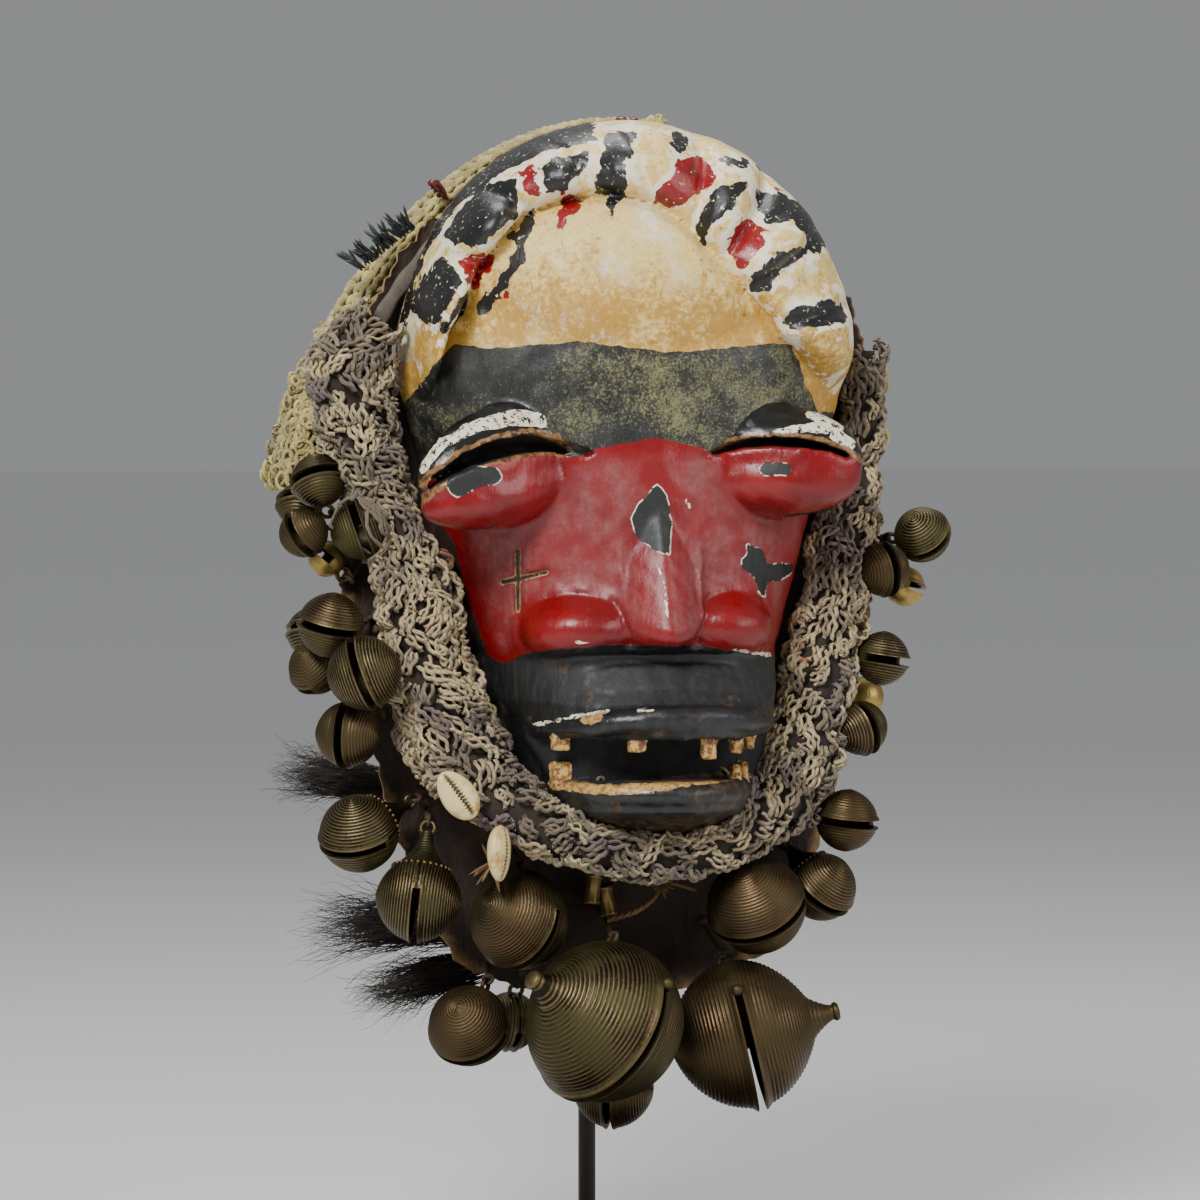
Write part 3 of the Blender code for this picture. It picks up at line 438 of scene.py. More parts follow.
WIDEST_Z = 45
CROWN_RISE = 92
CHIN_DROP = 187
HALF_WIDTH = 89
SHIELD_DEPTH = 60


def plan_square(x, z, inset=0.0):
    """1 on the mask's outline seen from the front, less inside it. An egg, widest at WIDEST_Z."""
    crown = (z - WIDEST_Z) / (CROWN_RISE - inset)
    chin = np.clip((WIDEST_Z - z) / (CHIN_DROP - inset), 0, None)
    taper = np.where(z > WIDEST_Z, 1.0, np.maximum(1 - 0.55 * chin**0.95, 0.2))
    rise = np.where(z > WIDEST_Z, crown**2, chin**6)
    return (x / ((HALF_WIDTH - inset) * taper)) ** 2 + rise


def shield(x, y, z, inset=0.0):
    """The plain domed shield that the face is carved on."""
    depth = (y - RIM_Y) / (SHIELD_DEPTH - inset)
    return (np.sqrt(plan_square(x, z, inset) + depth**2) - 1) * 50


CREST_FOOT_Z = 57
CREST_TURNS = (-110, -98, -77, -45, -2, 26, 44, 64, 88, 98, 108)
CREST_INNER = (84, 80, 71, 66, 52, 41, 38, 40, 49, 62, 84)
CREST_OUTER = 85
CREST_RISE = 12
CREST_LOBES = 13
FOREHEAD_RISE = 9
FOREHEAD = (-8, 90, 66, 37)


def crest_place(x, z):
    """Where a point is across the crest: -1 at its inner edge, 1 at its outer edge, and its turn in degrees."""
    turn = np.degrees(np.arctan2(x, z - CREST_FOOT_Z))
    inner = np.interp(turn, CREST_TURNS, CREST_INNER)
    reach = np.hypot(x, z - CREST_FOOT_Z)
    middle, half = (CREST_OUTER + inner) / 2, (CREST_OUTER - inner) / 2
    return (reach - middle) / half, turn


def brow_rise(x, z):
    """How far the crest and the domed forehead stand over the plain shield."""
    across, turn = crest_place(x, z)
    lobe = 1 + 0.14 * np.cos(np.radians(turn) * CREST_LOBES)
    ends = np.clip((104 - np.abs(turn + 1)) / 9, 0, 1)
    crest = CREST_RISE * lobe * ends * np.sqrt(np.clip(1 - across**2, 0, 1))
    cx, cz, wide, tall = FOREHEAD
    bump = np.clip(1 - ((x - cx) / wide) ** 2 - ((z - cz) / tall) ** 2, 0, 1)
    dome = FOREHEAD_RISE * bump**1.1 * np.clip((-0.9 - across) / 0.4, 0, 1)
    return np.maximum(crest, dome)


SLIT_FALL = 0.42
Eye = namedtuple("Eye", "x y z half_length half_height tilt yaw lid_rise slit")
LEFT_EYE = Eye(-56.5, -25, 2, 38, 13, 12, 27, 8.5, 7)
RIGHT_EYE = Eye(45.5, -27, 5, 35, 13.5, -1, -24, 7, 3.5)
EYES = (LEFT_EYE, RIGHT_EYE)


def eye_upper_lid(x, y, z, eye):
    semi = (eye.half_length + 1.5, 17, eye.half_height + eye.lid_rise + 1)
    return ellipsoid(x, y, z, (eye.x, eye.y, eye.z + eye.lid_rise), semi, eye.tilt, eye.yaw)


def eye_lower_lid(x, y, z, eye):
    semi = (eye.half_length, 18, eye.half_height)
    return ellipsoid(x, y, z, (eye.x, eye.y, eye.z), semi, eye.tilt, eye.yaw)


def eye_plan(x, y, z, eye):
    """The lower lid's outline, the gap's upper outline and the height over the lid's middle."""
    lean = math.radians(eye.tilt)
    z = z + SLIT_FALL * np.clip(y + 36, 0, None)
    u = (x - eye.x) * math.cos(lean) + (z - eye.z) * math.sin(lean)
    v = -(x - eye.x) * math.sin(lean) + (z - eye.z) * math.cos(lean)
    low = np.sqrt((u / eye.half_length) ** 2 + (v / (eye.half_height - 1)) ** 2)
    high = np.sqrt((u / (eye.half_length - 2)) ** 2 + (v / (eye.half_height - 1 + eye.slit)) ** 2)
    return low, high, v


def eye_slit(x, y, z, eye):
    """The curved gap over the lower lid, cut right through the wall."""
    low, high, v = eye_plan(x, y, z, eye)
    gap = np.maximum((high - 1) * eye.half_height, (1 - low) * eye.half_height)
    return np.maximum(gap, 2 - v)


NOSE_WINGS = (((-27, -26, -51), (22, 21, 13.5)), ((26, -26, -50), (21, 21, 13.5)))


def nose(x, y, z):
    body = tapered_rod(x, y, z, (0, -19, 30), (0.5, -42, -45), 8, 15)
    for middle, semi in NOSE_WINGS:
        body = smooth_min(body, ellipsoid(x, y, z, middle, semi), 5)
    underside = -57 - 0.0022 * x**2
    return smooth_max(body, underside - z, 3)


def nose_wings(x, y, z):
    return np.minimum(*(ellipsoid(x, y, z, middle, semi) for middle, semi in NOSE_WINGS))


MUZZLE_X = 2.5
MUZZLE_LEVELS = (-142, -127, -122, -119, -107, -91, -86, -75, -64, -56)
MUZZLE_REACH = (28, 34, 44, 56, 57, 61, 65, 54, 46, 43)
MUZZLE_HALF_WIDTH = (30, 37, 39, 41, 43, 49, 50, 53, 53, 50)
MOUTH_Z = -99
MOUTH_HALF_HEIGHT = 8
MOUTH_BACK_Y = -32
MOUTH_CORNER_Y = -15


def muzzle_size(level):
    """How far the muzzle reaches forward at a height, and half its width there."""
    return np.interp(level, MUZZLE_LEVELS, MUZZLE_REACH), np.interp(level, MUZZLE_LEVELS, MUZZLE_HALF_WIDTH)


def muzzle(x, y, z):
    """Lips and chin: a half ellipse in plan whose reach and width follow the height."""
    reach, width = muzzle_size(z)
    plan = (np.sqrt(((x - MUZZLE_X) / width) ** 2 + ((y - 2) / reach) ** 2) - 1) * 45
    return smooth_max(smooth_max(plan, z - MUZZLE_LEVELS[-1], 4), MUZZLE_LEVELS[1] - 6 - z, 5)


def mouth(x, y, z):
    """The open mouth, a blind recess that runs shallower towards its corners."""
    slot = block(x, y, z, (MUZZLE_X, -60, MOUTH_Z), (80, 60, MOUTH_HALF_HEIGHT), 3)
    back = MOUTH_BACK_Y + (MOUTH_CORNER_Y - MOUTH_BACK_Y) * np.abs((x - MUZZLE_X) / 46) ** 3
    return np.maximum(slot, y - back)


Tooth = namedtuple("Tooth", "x jaw half_width tall")
TOOTH_SETBACK = 5
TOOTH_SINK = 3
TEETH = [
    Tooth(*tooth)
    for tooth in (
        (-36, 1, 3.5, 5), (-12, 1, 3.2, 4.5), (15, 1, 2.8, 7.5), (28, 1, 2.2, 6),
        (35, 1, 1.8, 5), (-34, -1, 3.4, 6), (30, -1, 1.8, 6), (35, -1, 1.6, 6),
    )
]


def muzzle_front(x, level):
    """Where the muzzle's surface is at x and height level."""
    reach, width = muzzle_size(level)
    return 2 - reach * math.sqrt(max(1 - ((x - MUZZLE_X) / width) ** 2, 0.0))


def teeth(x, y, z):
    """The few carved teeth that are left, each rooted in the lip above or below the mouth."""
    made = []
    for tooth in TEETH:
        edge = MOUTH_Z + tooth.jaw * MOUTH_HALF_HEIGHT
        middle = edge + tooth.jaw * (TOOTH_SINK - tooth.tall) / 2
        centre = (tooth.x, muzzle_front(tooth.x, edge) + TOOTH_SETBACK, middle)
        half = (tooth.half_width, 3, (tooth.tall + TOOTH_SINK) / 2)
        made.append(block(x, y, z, centre, half, 0.8))
    return np.minimum.reduce(made)


def mask_form(x, y, z, wall=10.0):
    """The whole carved mask, with its hollow back, eye slits and open mouth."""
    form = shield(x, y, z) - brow_rise(x, z)
    form = smooth_min(form, nose(x, y, z), 9)
    form = smooth_min(form, muzzle(x, y, z), 4)
    for eye in EYES:
        form = smooth_min(form, eye_upper_lid(x, y, z, eye), 2.5)
    hollow = shield(x, y, z, wall)
    form = np.maximum(form, -hollow)
    for eye in EYES:
        form = np.maximum(form, -eye_slit(x, y, z, eye))
        lid = np.maximum(eye_lower_lid(x, y, z, eye), -hollow)
        form = smooth_min(form, lid, 2)
    form = np.maximum(form, -mouth(x, y, z))
    form = np.minimum(form, np.maximum(teeth(x, y, z), -hollow))
    return np.maximum(form, y - RIM_Y)


LIP_SAG = 5
LIP_TOP_Z = -82.6


def finer_form(x, y, z, wall):
    """The carved mask with what is too fine for its plain solid: ridge, lips, grooved crest and tool marks."""
    across, turn = crest_place(x, z)
    form = mask_form(x, y, z, wall)
    front = np.clip(shield(x, y, z, wall * 0.4) / 2, 0, 1) * np.clip((14 - y) / 6, 0, 1)
    ridge = tapered_rod(x, y, z, (0, -26, 30), (0.5, -54, -50), 1.5, 4.5)
    form = np.where(front > 0, smooth_min(form, ridge, 7), form)
    ridge_y = -28.5 - 0.375 * np.clip(30 - z, 0, 80)
    facets = ridge_y + 0.45 * np.sqrt(x**2 + 2.0) + 0.022 * x**2 - y
    facets = np.minimum(facets * 0.83, shield(x, y, z) - 1.0)
    near_nose = (np.abs(x) < 14) & (z > -58) & (z < 34) & (y < -20)
    form = np.where(near_nose, smooth_max(form, facets, 1.2), form)
    for lip_z, lip_out, lip_radius, sag in ((LIP_TOP_Z, 0.5, 4.4, LIP_SAG), (-112, 2.0, 4.2, -1.5)):
        bow = lip_z - sag * np.abs((x - MUZZLE_X - 3) / 44) ** 2
        reach, width = muzzle_size(bow)
        edge = 2 - reach * np.sqrt(np.clip(1 - ((x - MUZZLE_X) / (width + 1)) ** 2, 0.0, 1))
        fade = lip_radius * np.clip((47 - np.abs(x - MUZZLE_X)) / 16, 0.3, 1)
        roll = np.hypot(z - bow, (y - edge - lip_out) * 0.9) - fade
        form = smooth_min(form, np.where(np.abs(x - MUZZLE_X) < 47, roll, 9.0), 1.2)
    form = np.maximum(form, -mouth(x, y, z))
    form = np.minimum(form, np.maximum(teeth(x, y, z), -shield(x, y, z, wall)))
    under = np.maximum(np.abs(z + 61.5 + 1.5 * (x / 45) ** 2) - 2.2, y + 37.5)
    form = smooth_max(form, -under, 1.0)
    inside_crest = np.clip((1.05 - np.abs(across)) * 2, 0, 1) * np.clip((104 - np.abs(turn + 1)) / 6, 0, 1)
    flute = np.abs(np.sin(np.radians(turn * 8.5 + 30 + 10 * across)))
    valley = np.exp(-((flute / 0.38) ** 2)) * 2.4 + 0.6 * (1 - flute)
    crease = 0.9 * np.exp(-(((nose_wings(x, y, z) - 1.3) / 1.1) ** 2)) * np.clip((z + 60) / 4, 0, 1)
    marks = 0.22 * np.sin(x * 0.43 + 2 * np.sin(z * 0.21)) * np.sin(z * 0.37 + 1.7 * np.sin(x * 0.17))
    marks = marks + 0.10 * np.sin(x * 1.3 + z * 0.8) * np.sin(z * 1.1 - x * 0.4)
    lines = 0.35 * np.exp(-(((z + 73 + 2.5 * (x / 40) ** 2) / 0.7) ** 2)) * (np.abs(x) < 38)
    return form + front * (valley * inside_crest + crease + marks + lines)


# Paint. Fields are laid out on the sheet that the camera faces, in millimetres, and are positive where painted.
SIGHT = (0.966, -0.259)


def sheet(x, y, z):
    return SIGHT[0] * x + SIGHT[1] * y, z


def stroke(u, v, points, radius, end_radius):
    """A brush stroke through points, from radius at its start to end_radius at its end."""
    best = np.full(np.shape(u), -1e3)
    pieces = max(len(points) - 1, 1)
    ends = list(zip(points, points[1:])) or [(points[0], points[0])]
    for k, ((u0, v0), (u1, v1)) in enumerate(ends):
        du, dv = u1 - u0, v1 - v0
        t = np.clip(((u - u0) * du + (v - v0) * dv) / max(du * du + dv * dv, 1e-9), 0, 1)
        away = np.hypot(u - u0 - t * du, v - v0 - t * dv)
        wide = radius + (end_radius - radius) * (k + t) / pieces
        best = np.maximum(best, wide - away)
    return best


def outlined(u, v, corners):
    """Signed distance inside a closed outline, positive inside."""
    inside = np.zeros(np.shape(u), bool)
    near = np.full(np.shape(u), 1e3)
    for (u0, v0), (u1, v1) in zip(corners, corners[1:] + corners[:1]):
        du, dv = u1 - u0, v1 - v0
        t = np.clip(((u - u0) * du + (v - v0) * dv) / (du * du + dv * dv), 0, 1)
        near = np.minimum(near, np.hypot(u - u0 - t * du, v - v0 - t * dv))
        crosses = (v0 > v) != (v1 > v)
        at = u0 + (v - v0) / (dv if abs(dv) > 1e-9 else 1e-9) * du
        inside ^= crosses & (u < at)
    return np.where(inside, near, -near)


# Outlines of the black and red patches on the crest, as they lie on that sheet.
BLACK_PATCHES = (
    [(-53, 116), (-44, 117), (-42, 104), (-48, 99), (-56, 91), (-66, 93), (-71, 96), (-65, 106)],
    [(-71, 89), (-63, 78), (-71, 65), (-77, 63), (-84, 70), (-81, 78)],
    [(-60, 76), (-64, 67), (-70, 59), (-73, 58), (-64, 73)],
    [(-37, 106), (-37, 99), (-40, 93), (-40, 88), (-46, 77), (-56, 67), (-59, 69), (-49, 80), (-43, 91), (-46, 96)],
    [(-35, 122), (-16, 128), (-18, 121), (-26, 113), (-32, 112)],
    [(-10, 135), (0, 137), (0, 127), (-4, 122), (-2, 112), (-5, 109), (-8, 103), (-10, 110), (-14, 112), (-14, 118),
     (-11, 126)],
    [(16, 136), (21, 133), (20, 128), (17, 127), (14, 130)],
    [(25, 105), (34, 115), (44, 117), (41, 113), (35, 104), (29, 101), (27, 93), (24, 96)],
    [(44, 81), (55, 90), (66, 94), (66, 90), (54, 81), (51, 76), (45, 76)],
    [(57, 64), (61, 70), (73, 73), (79, 71), (81, 65), (65, 62), (59, 60)],
    [(45, 114), (50, 101), (55, 100), (60, 103), (68, 90), (73, 92), (74, 97), (68, 107), (59, 113)],
    [(30, 127), (44, 125), (42, 121), (32, 124)],
    [(-94, 56), (-90, 95), (-75, 119), (-57, 131), (-37, 141), (-14, 146), (-14, 133), (-35, 126), (-50, 120),
     (-58, 112), (-66, 108), (-74, 96), (-79, 88), (-82, 76), (-86, 60)],
    [(46, 123), (58, 118), (69, 105), (76, 94), (80, 85), (83, 72), (85, 58), (95, 58), (92, 85), (80, 106), (62, 125),
     (50, 130)],
)
RED_PATCHES = (
    [(-65, 86), (-57, 89), (-50, 89), (-57, 78), (-59, 74)],
    [(-52, 72), (-47, 76), (-46, 73)],
    [(-44, 120), (-37, 124), (-33, 122), (-32, 116), (-35, 111), (-39, 110)],
    [(-26, 113), (-18, 109), (-24, 102), (-26, 99), (-28, 101), (-27, 108)],
    [(7, 109), (16, 121), (16, 126), (27, 126), (32, 117), (21, 109), (12, 107)],
    [(41, 103), (52, 98), (49, 97), (49, 91), (41, 84), (35, 90), (37, 97)],
    [(52, 116), (58, 114), (57, 106), (54, 112)],
    [(51, 106), (58, 104), (55, 100)],
)
FACE_RED = [
    (-78.7, 4.6), (-73.0, -10.6), (-67.3, -18.2), (-61.6, -41.0), (-54.0, -61.9), (-48.0, -64.5), (-40.6, -60.0),
    (-30.0, -57.5), (-12.0, -56.2), (9.0, -55.8), (27.0, -57.0), (40.0, -59.5), (54.3, -61.9), (58.1, -56.2),
    (66.0, -25.8), (73.4, -8.7), (84.8, 8.4), (30.4, 14.1), (25.8, 17.1), (8.7, 20.9), (-12.2, 17.1), (-19.0, 14.1),
]
NOSE_LEAF = [
    (8.6, 4.0), (12.9, -0.4), (14.6, -11.0), (13.9, -23.0), (7.4, -20.4), (1.4, -16.2), (-0.8, -9.6), (1.8, -4.0),
    (5.4, -0.8),
]
CHEEK_PEEL = [
    (42.6, -19.0), (49.4, -21.5), (50.6, -27.2), (57.0, -26.7), (62.0, -27.7), (60.7, -31.5), (55.7, -33.7),
    (51.4, -33.6), (50.2, -39.6), (47.6, -37.7), (46.0, -31.4), (41.3, -28.3), (41.3, -25.2), (43.4, -22.8),
]
LID_PEEL = ((((-63.8, 3.8), (-57.8, 6.8), (-51.7, 6.8)), 4.4, 3.2), (((50.2, 9.1), (57.0, 9.1)), 2.6, 2.4))
LID_WHITE = (
    (((-77.5, 9.6), (-70.3, 18.8), (-57.8, 24.8), (-44.5, 27.4), (-31.2, 26.4), (-23.2, 21.8)), 1.8, 2.2),
    (((-62.0, 24.5), (-44.5, 29.4), (-34.0, 28.4)), 1.8, 2.0),
    (((53.2, 22.6), (63.8, 24.5), (73.7, 23.9), (80.9, 18.4)), 1.0, 2.6),
    (((66.4, 29.6), (77.5, 25.8)), 1.4, 2.6),
)
# White flakes, most on the wings and lips. The stroke from (9, -26) to (12.5, -46) runs along the left edge of the
# nose ridge and is a painted highlight.
WHITE_FLAKES_AND_RIDGE_HIGHLIGHT = (
    (((-21, -54.8), (-16, -55.2)), 0.6, 0.3), (((38, -58.4), (52, -61.6)), 0.5, 0.8),
    (((-37, -86.6), (-18, -81.6), (-9, -80.2)), 0.7, 0.4), (((2, -79.8), (8, -79.6)), 0.6, 0.3),
    (((20, -2), (21, -5)), 0.8, 0.4), (((9, -26), (12, -34), (12.5, -46)), 0.2, 0.5),
)
CARVED_CROSSES = ((((-42.9, -21.5), (-42.9, -44.0)), 1.3, 1.0), (((-48.6, -33.4), (-32.0, -29.5)), 1.3, 1.0))
BARE_CHIPS = (
    (((-29.5, -108.4), (-12.2, -109.8), (10, -108.4), (18.2, -107.0), (36.5, -106.2)), 2.3, 1.0),
    (((-18.0, -83.6), (-12.5, -82.6)), 1.5, 1.5),
)
CHIN_CHIPS = ((((27, -112.5), (36, -112.5)), 4.2, 5), (((-7, -115), (-5, -118)), 1.8, 1.2))


def patches(u, v, outlines):
    return np.maximum.reduce([outlined(u, v, corners) for corners in outlines])


def strokes(u, v, made):
    return np.maximum.reduce([stroke(u, v, points, start, end) for points, start, end in made])


def paint_fields(mesh, points):
    """Keeps each paint's field on the mask's points."""
    x, y, z = points.T
    u, v = sheet(x, y, z)
    front = np.clip((RIM_Y - 3 - y) / 3, -1, 1) * 40 - 8
    hollow = shield(x, y, z, 9.0)
    front = np.minimum(front, hollow * 4 + 2)
    across, turn = crest_place(x, z)
    crest = np.minimum((1.06 - np.abs(across)) * 14, (106 - np.abs(turn + 1)) * 1.2)
    left_corner = np.minimum(-83 + (v - 37) * 0.87 - u, (v - 33) * 1.2)
    right_corner = np.minimum(u - 62 - (50.5 - v) * 0.44, v - 30)
    cream = np.maximum(v - 55.5 + 1.4 * np.sin(u * 0.09) + 1.2 * np.sin(u * 0.021 + 1), left_corner)
    clear = 26 * np.exp(-(((u + 62) / 26) ** 2) - ((v - 48) / 10) ** 2)
    clear = clear + 22 * np.exp(-(((u + 4) / 15) ** 2) - ((v - 18) / 9) ** 2) + 12 * np.exp(-(((v - 57) / 4) ** 2))
    eye_parts = (eye_slit, eye_lower_lid, eye_upper_lid)
    slit, lower, upper = [np.minimum(*(part(x, y, z, eye) for eye in EYES)) for part in eye_parts]
    eye_recess_shade = np.minimum(-np.minimum(lower, upper) - 2.2, 1.5 - slit)
    face = outlined(u, v, FACE_RED)
    lens = np.maximum.reduce([(1 - eye_plan(x, y, z, eye)[0]) * eye.half_height for eye in EYES])
    lens = np.minimum(lens + 0.5, 3.0 - np.minimum(upper, lower))
    white = np.minimum(np.minimum(strokes(u, v, LID_WHITE), 1.4 - upper), -lens - 0.5)
    edge = np.minimum(1.5 - slit, np.minimum(slit + 1.0, 2.0 - upper))
    haze = np.minimum(np.minimum(face - 2, upper - 2), lower + 12)
    haze = np.clip(np.minimum(haze, nose_wings(x, y, z) - 1) / 5, 0, 1)
    anywhere = {
        "brow_depth": 12 - clear + 5 * np.sin(u * 0.04 + 1),
        # recess: the mouth and the hollows behind the lids, where painted shade is laid
        "recess": np.maximum(np.where(y > -50, -mouth(x, y, z), -9.0), eye_recess_shade),
        "tooth": 0.5 - teeth(x, y, z),
        "haze": haze * (0.45 + 0.55 * np.clip((np.abs(u - 9) - 8) / 6, 0, 1)),
        "inside": np.clip(1.5 - hollow, -2, 2),
    }
    on_front = {
        "cream": np.maximum(cream, right_corner),
        "crest": crest,
        "brow": np.minimum(57 - v, v - 14),
        "slab": np.minimum(-62 - v, v + 78),
        "red": np.maximum(np.minimum(face, upper - 0.3), np.maximum(0.9 - lower, lens)),
        "lid_black": np.minimum(1.0 - upper, -lens),
        # white lid paint and flakes, with the painted highlight along the nose ridge
        "lid_white_and_ridge_highlight": np.maximum(white, strokes(u, v, WHITE_FLAKES_AND_RIDGE_HIGHLIGHT)),
        "rubbed": np.minimum(edge, np.where(u < 0, 9.0, 0.5 - lens * 4)),
        "crest_black": patches(u, v, BLACK_PATCHES),
        "crest_red": patches(u, v, RED_PATCHES),
        "peel": np.maximum(patches(u, v, (NOSE_LEAF, CHEEK_PEEL)), strokes(u, v, LID_PEEL)),
        "lips": np.minimum(-56.0 - v, v + 128),
        "cut": strokes(u, v, CARVED_CROSSES),
        "chipped": strokes(u, v, BARE_CHIPS),
        "chin": np.maximum(-121.0 - v, strokes(u, v, CHIN_CHIPS)),
    }
    for name, field in anywhere.items():
        paint(mesh, name, field)
    for name, field in on_front.items():
        paint(mesh, name, np.minimum(field, front))


class Coats:
    """Coats of paint, one over the other, each with its mask, colour and roughness."""

    def __init__(self, n, shade, rough):
        self.n, self.shade, self.rough = n, shade, rough

    def lay(self, mask, shade, rough=None):
        self.shade = self.n.mix(mask, self.shade, shade)
        if rough is not None:
            self.dull(mask, rough)

    def dull(self, mask, rough):
        self.rough = self.n.mix_number(mask, self.rough, rough)


def mask_paint(s):
    """Layers of enamel, kaolin and bare wood, each with its own edge and gloss."""
    mat, shader, n = blank("painted wood")
    fine = n.noise(1100.0, 3.0, 0.65)
    speck = n.noise(430.0, 5.0, 0.72)
    blotch = n.noise(85.0, 5.0, 0.62)
    broad = n.noise(26.0, 4.0, 0.6)
    streak = n.noise(70.0, 5.0, 0.65, n.stretched((5.0, 5.0, 0.9)))

    bare_wood = n.mix(n.ramp(streak, 0.35, 0.7), s.wood, dim(s.wood, 0.35))
    coats = Coats(n, bare_wood, n.mix_number(n.ramp(streak, 0.3, 0.7), 0.5, 0.75))
    coats.lay(n.ramp(n.number("inside"), -0.5, 0.5), n.mix(n.ramp(streak, 0.4, 0.7), s.wood, s.worn))

    brow = ragged(n, "brow", 1.6, 120.0)[0]
    lichen = n.sum(n.times(speck, 0.35), n.times(fine, 0.6))
    lichen = n.sum(lichen, n.times(blotch, 0.4))
    lichen = n.sum(lichen, n.times(n.number("brow_depth"), 0.006))
    lichen = n.ramp(lichen, 0.70, 0.93, 0.0, 0.75)
    shade = n.mix(n.ramp(blotch, 0.38, 0.62), dim(s.brow, 0.4), s.brow)
    shade = n.mix(n.ramp(fine, 0.55, 0.75, 0.0, 0.5), shade, (0.11, 0.115, 0.10))
    coats.lay(brow, n.mix(lichen, shade, s.lichen), n.ramp(speck, 0.35, 0.7, 0.34, 0.7))

    cream = ragged(n, "cream", 1.5, 110.0)[0]
    up = n.sum(n.number("cream"), n.times(n.less(blotch, 0.5), 60.0))
    stain = n.sum(n.times(speck, 0.5), n.times(blotch, 0.5))
    stain = n.sum(stain, n.ramp(up, 5.0, 45.0, 0.10, -0.05))
    kaolin = n.mix(n.ramp(stain, 0.47, 0.60), s.cream, s.ochre)
    kaolin = n.mix(n.ramp(fine, 0.56, 0.66, 0.0, 0.45), kaolin, dim(s.ochre, 0.55))
    kaolin = n.mix(n.ramp(n.sum(broad, n.times(speck, 0.5)), 0.82, 0.95, 0.0, 0.85), kaolin, s.white)
    kaolin = n.mix(n.ramp(speck, 0.63, 0.68, 0.0, 0.85), kaolin, dim(s.ochre, 0.2))
    coats.lay(cream, kaolin, n.ramp(blotch, 0.35, 0.65, 0.42, 0.66))
    crest = ragged(n, n.less(n.number("crest"), 1.0), 0.9, 160.0)[0]
    coats.lay(n.times(crest, n.ramp(blotch, 0.53, 0.59, 0.0, 0.85)), s.white)

    lips = ragged(n, "lips", 0.7, 200.0)[0]
    dusty = n.mix(n.ramp(streak, 0.45, 0.75, 0.0, 0.55), s.black, (0.030, 0.033, 0.034))
    dusty = n.mix(n.ramp(blotch, 0.60, 0.66, 0.0, 0.5), dusty, (0.10, 0.05, 0.02))
    coats.lay(lips, dusty, n.ramp(blotch, 0.3, 0.7, 0.22, 0.5))
    coats.dull(n.ramp(n.number("slab"), -1.0, 1.0), n.ramp(streak, 0.3, 0.7, 0.5, 0.72))

    red = ragged(n, "red", 0.7, 240.0)[0]
    reds = n.mix(n.ramp(broad, 0.35, 0.65), s.red, dim(s.red, 0.62))
    pink = n.mix(n.ramp(speck, 0.35, 0.65), (s.red[0] * 0.75, 0.040, 0.042), (s.red[0] * 0.95, 0.080, 0.074))
    pink = n.mix(n.ramp(streak, 0.50, 0.70, 0.0, 0.6), pink, s.red)
    reds = n.mix(n.times(n.number("haze"), n.ramp(blotch, 0.38, 0.60, 0.1, 0.75)), reds, pink)
    reds = n.mix(n.ramp(speck, 0.69, 0.73, 0.0, 0.7), reds, (0.05, 0.004, 0.004))
    coats.lay(red, reds, n.mix_number(n.number("haze"), n.ramp(blotch, 0.3, 0.7, 0.18, 0.34), 0.55))
    lid = ragged(n, "lid_black", 0.25, 240.0)[0]
    coats.lay(lid, s.black, 0.2)

    for name, shade, gloss in (("crest_red", s.red, 0.32), ("crest_black", s.black, 0.36)):
        mask, _, halo = ragged(n, name, 2.6, 170.0)
        bare = n.times(n.times(halo, crest), n.ramp(n.noise(140.0, 4.0, 0.6), 0.47, 0.51))
        coats.lay(bare, s.white)
        chipped = n.times(mask, n.ramp(speck, 0.62, 0.66, 1.0, 0.0))
        dulled = n.mix(n.ramp(blotch, 0.5, 0.7), shade, [c * 0.5 + 0.005 for c in shade])
        coats.lay(chipped, dulled)
        coats.lay(n.times(mask, n.ramp(speck, 0.62, 0.65)), s.white)
        coats.dull(chipped, gloss)
    # White lid paint and flakes, with the painted highlight along the nose ridge.
    white = ragged(n, "lid_white_and_ridge_highlight", 0.7, 230.0)[0]
    white = n.times(white, n.ramp(n.noise(420.0, 5.0, 0.75), 0.54, 0.57, 1.0, 0.0))
    coats.lay(white, s.white, 0.3)

    rubbed = ragged(n, "rubbed", 0.6, 300.0)[0]
    worn = n.mix(n.ramp(speck, 0.4, 0.65), s.worn, dim(s.worn, 0.15))
    coats.lay(n.times(rubbed, 0.9), worn)
    chipped = ragged(n, "chipped", 0.9, 260.0)[0]
    coats.lay(chipped, n.mix(n.ramp(speck, 0.42, 0.6), (0.54, 0.35, 0.11), (0.26, 0.12, 0.035)))
    peel, peel_edge, _ = ragged(n, "peel", 0.55, 260.0, 0.22)
    coats.lay(peel, n.mix(fine, (0.004, 0.004, 0.004), (0.018, 0.020, 0.019)))
    coats.lay(n.times(peel_edge, n.ramp(n.noise(150.0), 0.49, 0.53)), s.white)
    coats.dull(peel, 0.55)
    cut = ragged(n, "cut", 0.35, 300.0)[0]
    # Painted shade and highlight: the cross grooves are near black along their middle, as shade in the groove, and tan
    # at their edges, partly bare cut wood and partly painted highlight.
    groove = n.mix(n.ramp(n.number("cut"), 0.35, 0.75), (0.40, 0.25, 0.11), (0.025, 0.014, 0.010))
    coats.lay(cut, n.mix(n.ramp(speck, 0.5, 0.6), groove, (0.10, 0.03, 0.02)))
    chin = ragged(n, "chin", 1.2, 150.0)[0]
    coats.lay(n.times(chin, 0.85), n.mix(n.ramp(streak, 0.4, 0.65), (0.012, 0.009, 0.007), (0.085, 0.042, 0.017)))
    coats.lay(n.ramp(fine, 0.68, 0.76, 0.0, 0.30), (0.42, 0.34, 0.24))
